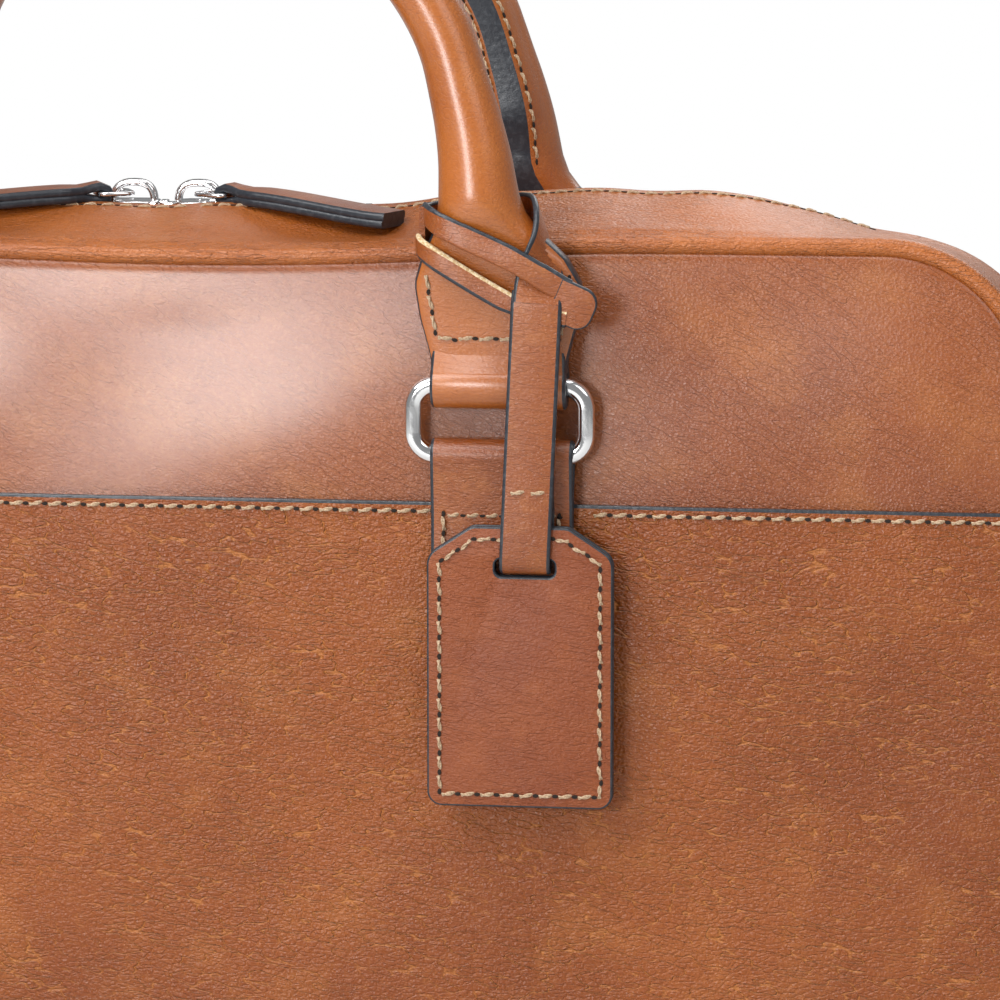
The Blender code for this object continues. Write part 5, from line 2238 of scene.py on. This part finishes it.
    def chape(self, side: int, x_side: int) -> bpy.types.Object:
        """The short strap folded over the ring's lower bar and sewn down over the lap.

        Args:
            side: -1 front, 1 back.
            x_side: -1 left, 1 right.

        Returns:
            The chape.
        """
        form, plane = self.form, self.plane()
        face, lap = self.chape_depths()
        x, width, foot = x_side * (self.half + self.chape_shift), 0.0338, self.chape_foot
        path = []
        for z in np.linspace(foot, form.lap - 0.004, 14):
            y = face + 0.00225 + (lap - face) * float(smoothstep(z, form.taper_from, form.lap))
            path.append((Vector((x, side * y, z)), Vector((0, side, 0)), width))
        for t in np.linspace(-0.10 * pi, 1.10 * pi, 18):
            out = Vector((0, side * cos(t), sin(t)))
            path.append((Vector((x, side * plane, self.bar)) + out * 0.00320, out, width))
        for z in np.linspace(form.lap + 0.002, foot, 14):
            y = face + 0.00075 + (lap - face) * float(smoothstep(z, form.taper_from, form.lap))
            path.append((Vector((x, side * y, z)), Vector((0, -side, 0)), width))
        f = self.finish
        name = f"{WORD[side]}_{HAND[x_side]}"
        piece = Strip(0.0015, 2).make(f"chape_strap_{name}", path, [f.strap, f.paint, f.paint])
        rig.slot(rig.replaces(piece, f"chape_{name}"), "painted_edge_leather")
        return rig.ride(piece, "bag")

    def stitches(self, side: int) -> list[bpy.types.Object]:
        """Rows on the handle's fin and its two ends, and on the chapes.

        Args:
            side: -1 front, 1 back.

        Returns:
            The handle's rows and the chapes' rows.
        """
        out, plane = Vector((0, side, 0)), self.plane()
        handle, bag = Seam(), Seam()
        line = self.line(side)
        for flank in (-1, 1):
            points, outs = [], []
            for k in range(1, len(line) - 1):
                if line[k].z < 0.297:
                    continue
                along = (line[k + 1] - line[k - 1]).normalized()
                away = (out - along * out.dot(along)).normalized()
                across = along.cross(away)
                angle, look = flank * radians(23), flank * self.fin_flank_angle
                share = self.fin_share(line[k].z)
                reach = self.fin_reach(self.roll_radius(line[k].z), angle, share) + PROUD
                points.append(line[k] - away * reach * cos(angle) + across * reach * sin(angle))
                outs.append(-away * cos(look) + across * sin(look))
            handle.run(points, outs, STITCH_PITCH)
        corner = [(-0.0168, 0.2800), (-0.0166, 0.2770), (-0.0150, 0.2665), (-0.0134, 0.2644)]
        corner += [(-x, z) for x, z in corner[::-1]]
        for x_side in (-1, 1):
            for face in (-1, 1):
                places = []
                for a, b in zip(corner, corner[1:]):
                    for share in (0.0, 0.25, 0.5, 0.75):
                        x, z = a[0] + (b[0] - a[0]) * share, a[1] + (b[1] - a[1]) * share
                        y = plane + face * (self.front_of(self.half + x, z) + 2 * PROUD)
                        places.append(Vector((x_side * (self.half + x), side * y, z)))
                handle.run(places, [out * face] * len(places), STITCH_PITCH)
            x = x_side * (self.half + self.chape_shift)
            face_y, lap_y = (side * (y + 0.0030 + PROUD) for y in self.chape_depths())
            reach = self.chape_row
            for edge in (-reach, reach):
                column = [Vector((x + edge, face_y, z)) for z in np.linspace(0.175, 0.2225, 12)]
                bag.run(column, [out] * len(column), STITCH_PITCH)
            row = [Vector((x + a, lap_y, self.form.lap - 0.0024)) for a in np.linspace(-reach, reach, 6)]
            bag.run(row, [out] * len(row), STITCH_PITCH)
        made = []
        for seam, kind, body in ((handle, "handle", f"{WORD[side]}_handle"), (bag, "chape", "bag")):
            sewn = self.sewing.sew(f"{WORD[side]}_{kind}_stitches", seam, STITCH_PITCH, 0.07)
            made.append(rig.ride(sewn, body))
        return made

    def build(self) -> list[bpy.types.Object]:
        """Makes both handles and dresses their cores, which stay as packed.

        Returns:
            Every piece but the cores.
        """
        made = []
        for side, word in WORD.items():
            dress(frame["nodes"][f"{word}_handle_core"], self.finish.board)
            made.append(self.cover(side))
            for x_side in HAND:
                made += [self.ring(side, x_side), self.chape(side, x_side)]
            made += self.stitches(side)
        return made


@dataclass
class Tag:
    """The luggage tag, the strap it hangs on, and the slit end that chokes the handle's leg."""

    finish: Finishes
    sewing: Sewing
    x: float = 0.0850
    top: float = 0.2205
    height: float = 0.0674
    width: float = 0.0442
    slot_x: float = 0.0862
    slot_z: float = 0.2107
    strap: float = 0.0014
    strap_width: float = 0.0120

    def noose(self) -> bpy.types.Object:
        """The choke: two halves across the front, their joined tip, and the band that runs round behind.

        Returns:
            The noose.
        """
        f = self.finish
        over = [
            (0.0617, -0.0455, 0.2934), (0.0632, -0.0500, 0.2930), (0.0665, -0.0532, 0.2914),
            (0.0715, -0.0543, 0.2892), (0.0780, -0.0546, 0.2864), (0.0840, -0.0549, 0.2836),
            (0.0900, -0.0547, 0.2802), (0.0960, -0.0541, 0.2766),
        ]
        under = [
            (0.0602, -0.0465, 0.2864), (0.0613, -0.0496, 0.2856), (0.0648, -0.0518, 0.2834),
            (0.0700, -0.0525, 0.2803), (0.0760, -0.0527, 0.2768), (0.0825, -0.0529, 0.2734),
            (0.0895, -0.0530, 0.2712), (0.0960, -0.0537, 0.2700),
        ]
        outs = [(-1, -0.15, 0), (-0.85, -0.5, 0), (-0.35, -0.93, 0.1), (-0.05, -1, 0.14), (0, -1, 0.10)]
        outs += [(0, -1, 0.02), (0, -1, -0.06), (0, -1, -0.14)]
        over_widths = [0.0054, 0.0054, 0.0056, 0.0058, 0.0058, 0.0057, 0.0060, 0.0062]
        under_widths = [0.0050] * 5 + [0.0047, 0.0044, 0.0042]
        parts, steps = [], 5
        for name, line, widths, edges in (
            ("over", over, over_widths, [f.strap, f.paint]),
            ("under", under, under_widths, [f.paint, f.raw]),
        ):
            path = []
            for k, (place, look) in enumerate(zip(smooth_path(line, steps), smooth_path(outs, steps))):
                path.append((place, look.normalized(), widths[min(7, k // steps)]))
            parts.append(Strip(self.strap, 3).make(name, path, [f.strap, *edges]))
        slope = Vector((0.915, 0, -0.403))
        tilted = Vector((0, -0.99, -0.14))
        face = (tilted - slope * tilted.dot(slope)).normalized()
        turn = Matrix((slope, face.cross(slope), face)).transposed().to_4x4()
        tip = [(-0.0040, -0.0052, 0.0004), (0.0062, -0.0052, 0.0038)]
        tip += [(x, -y, radius) for x, y, radius in tip[::-1]]
        place = Matrix.Translation((0.0968, -0.0540, 0.2736)) @ turn
        parts.append(slab("tip", [soft_outline(tip, 6)], self.strap, 0.0004, place, [f.strap, f.paint]))
        behind = [
            (0.0612, -0.0475, 0.2897), (0.0612, -0.0455, 0.2898), (0.0630, -0.0394, 0.2900),
            (0.0690, -0.0348, 0.2903), (0.0785, -0.0343, 0.2914), (0.0856, -0.0366, 0.2922),
            (0.0888, -0.0430, 0.2912), (0.0897, -0.0480, 0.2872), (0.0900, -0.0510, 0.2825),
            (0.0893, -0.0530, 0.2775), (0.0890, -0.0544, 0.2735),
        ]
        looks = [(-1, 0, 0), (-1, 0.1, 0), (-0.7, 0.7, 0), (-0.1, 1, 0.1), (0.1, 1, 0.1), (0.6, 0.8, 0.2)]
        looks += [(1, 0.1, 0.3), (1, -0.2, 0.2), (0.6, -0.8, 0.1), (0.15, -1, 0.0), (0, -1, 0)]
        places, normals = smooth_path(behind, steps), smooth_path(looks, steps)
        band = [(place, look.normalized(), 0.0112) for place, look in zip(places, normals)]
        parts.append(Strip(self.strap, 3, 0).make("behind", band, [f.strap, f.paint, f.paint]))
        piece = joined("noose", parts)
        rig.slot(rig.replaces(piece, "tag_strap_noose"), "painted_edge_leather")
        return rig.ride(piece, "front_handle")

    def hanging(self) -> bpy.types.Object:
        """The strap from the noose through the tag's slot and up behind, where it is sewn to itself.

        Returns:
            The strap with its two ties.
        """
        z = self.slot_z
        line = [
            (-0.0533, 0.2762), (-0.0542, 0.2738), (-0.0544, 0.2700), (-0.0545, 0.2550),
            (-0.0545, 0.2400), (-0.0545, 0.2250), (-0.0544, z + 0.0030), (-0.0535, z),
            (-0.05175, z - 0.0009), (-0.0500, z), (-0.0490, z + 0.0025), (-0.0489, z + 0.0080),
            (-0.0494, z + 0.0130), (-0.0515, 0.2265), (-0.0530, 0.2290), (-0.0531, 0.2330),
        ]
        smooth = smooth_path([(0, *p) for p in line], 4)
        path = []
        for k, place in enumerate(smooth):
            along = (smooth[min(len(smooth) - 1, k + 1)] - smooth[max(0, k - 1)]).normalized()
            sway = 0.045 * max(0.0, place.z - self.slot_z)
            middle = Vector((self.slot_x + sway, place.y, place.z))
            path.append((middle, Vector((0, along.z, -along.y)), self.strap_width))
        f = self.finish
        strap = Strip(self.strap, 3).make("strap", path, [f.strap, f.paint, f.paint])
        ties = Seam()
        for step in (-0.0024, 0.0024):
            place = Vector((self.slot_x + 0.0008 + step, -0.0553, 0.2290))
            ties.spots.append((place, Vector((1, 0, 0)), Vector((0, -1, 0))))
        sewing = self.sewing
        thread = sewing.repeat.make("ties", ties, sewing.stitch, f.thread, radians(8), 0.05)
        piece = joined("hanging_strap", [strap, thread])
        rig.slot(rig.replaces(piece, "tag_strap"), "painted_edge_leather")
        low, high = (self.slot_x, -0.0512, 0.2250), (self.slot_x, -0.0512, 0.2400)
        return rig.blend(piece, "luggage_tag", "hanging_strap", start=low, end=high)

    def outline(self) -> list[tuple[float, float]]:
        """The tag's outline round its middle: straight sides, slanting shoulders, soft corners.

        Returns:
            Points, anticlockwise.
        """
        half, tall = self.width / 2, self.height / 2
        corners = [(-half, -tall, 0.0035), (half, -tall, 0.0035), (half, tall - 0.0070, 0.0045)]
        corners += [(0.0115, tall, 0.0035), (-0.0115, tall, 0.0035), (-half, tall - 0.0070, 0.0045)]
        return soft_outline(corners, 6)

    def leaves(self) -> list[bpy.types.Object]:
        """Front and back leaves with the strap's slot, and the stitches round them.

        Returns:
            Both leaves and their stitches.
        """
        f, made = self.finish, []
        middle = self.top - self.height / 2
        across, up = self.slot_x - self.x, self.slot_z - middle
        slot = [(x + across, y + up) for x, y in rounded_box(0.0142, 0.0042, 0.0015, 4)]
        window = [(x, y - 0.006) for x, y in rounded_box(0.0300, 0.0340, 0.0020, 4)]
        row = Seam()
        for name, holes, look in (("front", [slot], -1), ("back", [slot, window], 1)):
            low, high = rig.box(f"tag_{name}_leaf")
            y, thick = (low.y + high.y) / 2, high.y - low.y
            turn = Matrix(((1, 0, 0, self.x), (0, 0, -1, y), (0, 1, 0, middle), (0, 0, 0, 1)))
            leaf = slab(f"tag_{name}", [self.outline(), *holes], thick, 0.00050, turn, [f.tag, f.paint])
            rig.slot(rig.replaces(leaf, f"tag_{name}_leaf"), "painted_edge_leather")
            made.append(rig.ride(leaf, "luggage_tag"))
            face = y + look * (thick / 2 + PROUD)
            line = [Vector((self.x + a, face, middle + b)) for a, b in inset(self.outline(), 0.0030)]
            row.run(line, [Vector((0, look, 0))] * len(line), STITCH_PITCH, closed=True)
        made.append(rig.ride(self.sewing.sew("tag_stitches", row, STITCH_PITCH), "luggage_tag"))
        return made

    def build(self) -> list[bpy.types.Object]:
        """Makes the tag and dresses its card and window, which stay as packed.

        Returns:
            Every piece but the card and window.
        """
        dress(frame["nodes"]["address_card"], self.finish.card)
        dress(frame["nodes"]["tag_window"], self.finish.film)
        return [self.noose(), self.hanging(), *self.leaves()]


@dataclass
class LapSeam:
    """The stitches along the painted top edge of both grained panels."""

    form: BagForm
    sewing: Sewing
    below: float = 0.0022
    chape_half: float = 0.0185

    def build(self) -> list[bpy.types.Object]:
        """Makes one row on each face, and leaves out what the chapes cover.

        Returns:
            Both rows.
        """
        form, made = self.form, []
        for side, word in WORD.items():
            x = np.linspace(-form.width / 2 + 0.004, form.width / 2 - 0.004, 300)
            z = np.full_like(x, form.lap - self.below)
            y = side * (form.face(x, z, side, form.leather + form.lap_gap) + PROUD)
            row = Seam()
            row.run([Vector(p) for p in zip(x, y, z)], [Vector((0, side, 0))] * len(x), STITCH_PITCH)
            row.spots = [spot for spot in row.spots if abs(abs(spot[0].x) - form.chape_x) > self.chape_half]
            slant = -side * STITCH_SLANT
            sewn = self.sewing.sew(f"{word}_lap_stitches", row, STITCH_PITCH, slant=slant)
            made.append(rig.ride(sewn, "bag"))
        return made


def stitch_shape(material: bpy.types.Material) -> bpy.types.Object:
    """One stitch: two twisted strands of waxed thread, whose ends dive into the leather.

    Args:
        material: its finish.

    Returns:
        The pattern stitch.
    """
    shape, length, sides, steps = bmesh.new(), 0.0034, 5, 6
    for strand in (0, 1):
        loops = []
        for k in range(steps + 1):
            t = k / steps
            turn = pi * strand + 1.5 * pi * t
            dive = 0.00060 * abs(2 * t - 1) ** 4
            middle = Vector(((t - 0.5) * length, 0.00024 * cos(turn), 0.00018 * sin(turn) + 0.00018 - dive))
            loop = []
            for j in range(sides):
                a = 2 * pi * j / sides
                loop.append(shape.verts.new(middle + Vector((0, 0.00028 * cos(a), 0.00026 * sin(a)))))
            loops.append(loop)
        skin(shape, loops)
        shape.faces.new(loops[0])
        shape.faces.new(loops[-1])
    return shade(new_object("stitch", outward_mesh("stitch", shape), [material]), 60)


def hole_shade_shape(material: bpy.types.Material) -> bpy.types.Object:
    """A thin flat dark disc between two stitches: painted shade where the needle went through the leather."""
    outline = [(0.00074 * cos(2 * pi * k / 8), 0.00046 * sin(2 * pi * k / 8)) for k in range(8)]
    return slab("hole", [outline], 0.00030, 0.00006, Matrix.Identity(4), [material])


@dataclass
class Studio:
    """Pale floor, soft lights and the camera."""

    target: Point = (0.0793, -0.0450, 0.2255)
    azimuth: float = radians(7.2)
    elevation: float = radians(9.4)
    distance: float = 1.30
    lens: float = 198.0
    ambient: float = 0.27
    floor_reach: float = 1.6

    def light(self, name: str, turn: float, rise: float, distance: float, size: float, power: float) -> None:
        """Places a soft area light that looks at the handles.

        Args:
            name: the light's name.
            turn: azimuth in degrees, 0 in front and positive to the right.
            rise: elevation in degrees.
            distance: distance from the handles.
            size: side of its square.
            power: watts.
        """
        lamp = bpy.data.lights.new(name, "AREA")
        lamp.shape, lamp.size, lamp.size_y, lamp.energy = "RECTANGLE", size, size, power
        thing = bpy.data.objects.new(name, lamp)
        bpy.context.scene.collection.objects.link(thing)
        self.aim(thing, Vector((0.05, -0.03, 0.25)), radians(turn), radians(rise), distance)

    @staticmethod
    def aim(
        thing: bpy.types.Object, target: Vector, azimuth: float, elevation: float, distance: float
    ) -> None:
        """Puts a thing at a direction and distance from a target and turns it to look there.

        Args:
            thing: the object.
            target: where it looks.
            azimuth: 0 in front, positive to the right.
            elevation: angle above the floor.
            distance: distance from the target.
        """
        away = Vector((sin(azimuth) * cos(elevation), -cos(azimuth) * cos(elevation), sin(elevation)))
        thing.location = target + away * distance
        thing.rotation_euler = away.to_track_quat("Z", "Y").to_euler()

    def build(self) -> None:
        """Makes the stage."""
        scene = bpy.context.scene
        scene.view_settings.view_transform = "Standard"
        world = bpy.data.worlds.new("studio")
        scene.world = world
        world.use_nodes = True
        sky = world.node_tree.nodes["Background"]
        sky.inputs["Color"].default_value = (1.0, 1.0, 1.0, 1.0)
        seen = world.node_tree.nodes.new("ShaderNodeLightPath")
        strength = world.node_tree.nodes.new("ShaderNodeMapRange")
        strength.inputs["To Min"].default_value = self.ambient
        strength.inputs["To Max"].default_value = 1.0
        world.node_tree.links.new(seen.outputs["Is Camera Ray"], strength.inputs["Value"])
        world.node_tree.links.new(strength.outputs["Result"], sky.inputs["Strength"])
        floor_mesh, reach = bpy.data.meshes.new("floor"), self.floor_reach
        corners = [(x * reach, y * reach, 0) for x, y in ((-1, -1), (1, -1), (1, 1), (-1, 1))]
        floor_mesh.from_pydata(corners, [], [(0, 1, 2, 3)])
        paper = Recipe("paper")
        floor = new_object("floor", floor_mesh, [paper.finish(Base_Color=(0.62, 0.62, 0.61), Roughness=0.9)])
        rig.stage(floor)
        self.light("key", -46, 42, 1.5, 0.8, 14.0)
        self.light("front", -17, 9, 1.5, 0.36, 9.0)
        self.light("fill", 48, 36, 1.8, 0.9, 6.0)
        self.light("top", -20, 76, 1.4, 1.0, 13.0)
        self.light("behind", 165, 35, 2.0, 1.2, 12.0)
        camera = bpy.data.objects.new("camera", bpy.data.cameras.new("camera"))
        scene.collection.objects.link(camera)
        camera.data.lens, camera.data.sensor_width = self.lens, 36.0
        camera.data.dof.use_dof = False
        camera.data.clip_end = 20.0
        self.aim(camera, Vector(self.target), self.azimuth, self.elevation, self.distance)
        scene.camera = camera


def box_line(corners: tuple) -> list[float]:
    """A box's corners as one plain list in millimetres."""
    return [round(1000 * float(value), 2) for corner in corners for value in corner]


def main() -> None:
    """Builds the bag's looks on its frame, then its stage."""
    before = box_line(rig.bounds())
    form, finish = BagForm(), Finishes.make()
    stitch, hole = stitch_shape(finish.thread), hole_shade_shape(finish.hole)
    sewing = Sewing(Repeat("stitches"), stitch, hole, finish)
    shell = Shell(form, finish)
    parts = (
        shell,
        LapSeam(form, sewing),
        Inside(form, finish, shell),
        Mouth(form, finish, shell, sewing),
        Pulls(finish),
        Handles(form, finish, sewing),
        Tag(finish, sewing),
    )
    for part in parts:
        for piece in part.build():
            LOG.info("%s: %s, %d faces", type(part).__name__, piece.name, len(piece.data.polygons))
    for pattern in (stitch, hole):
        bpy.data.objects.remove(pattern, do_unlink=True)
    Studio().build()
    with open("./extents.json", "w", encoding="utf-8") as file:
        file.write(json.dumps({"cad": before}) + "\n")
        file.write(json.dumps({"visual": box_line(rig.bounds())}) + "\n")


if __name__ == "__main__":
    logging.basicConfig(level=logging.INFO, format="%(message)s")
    main()
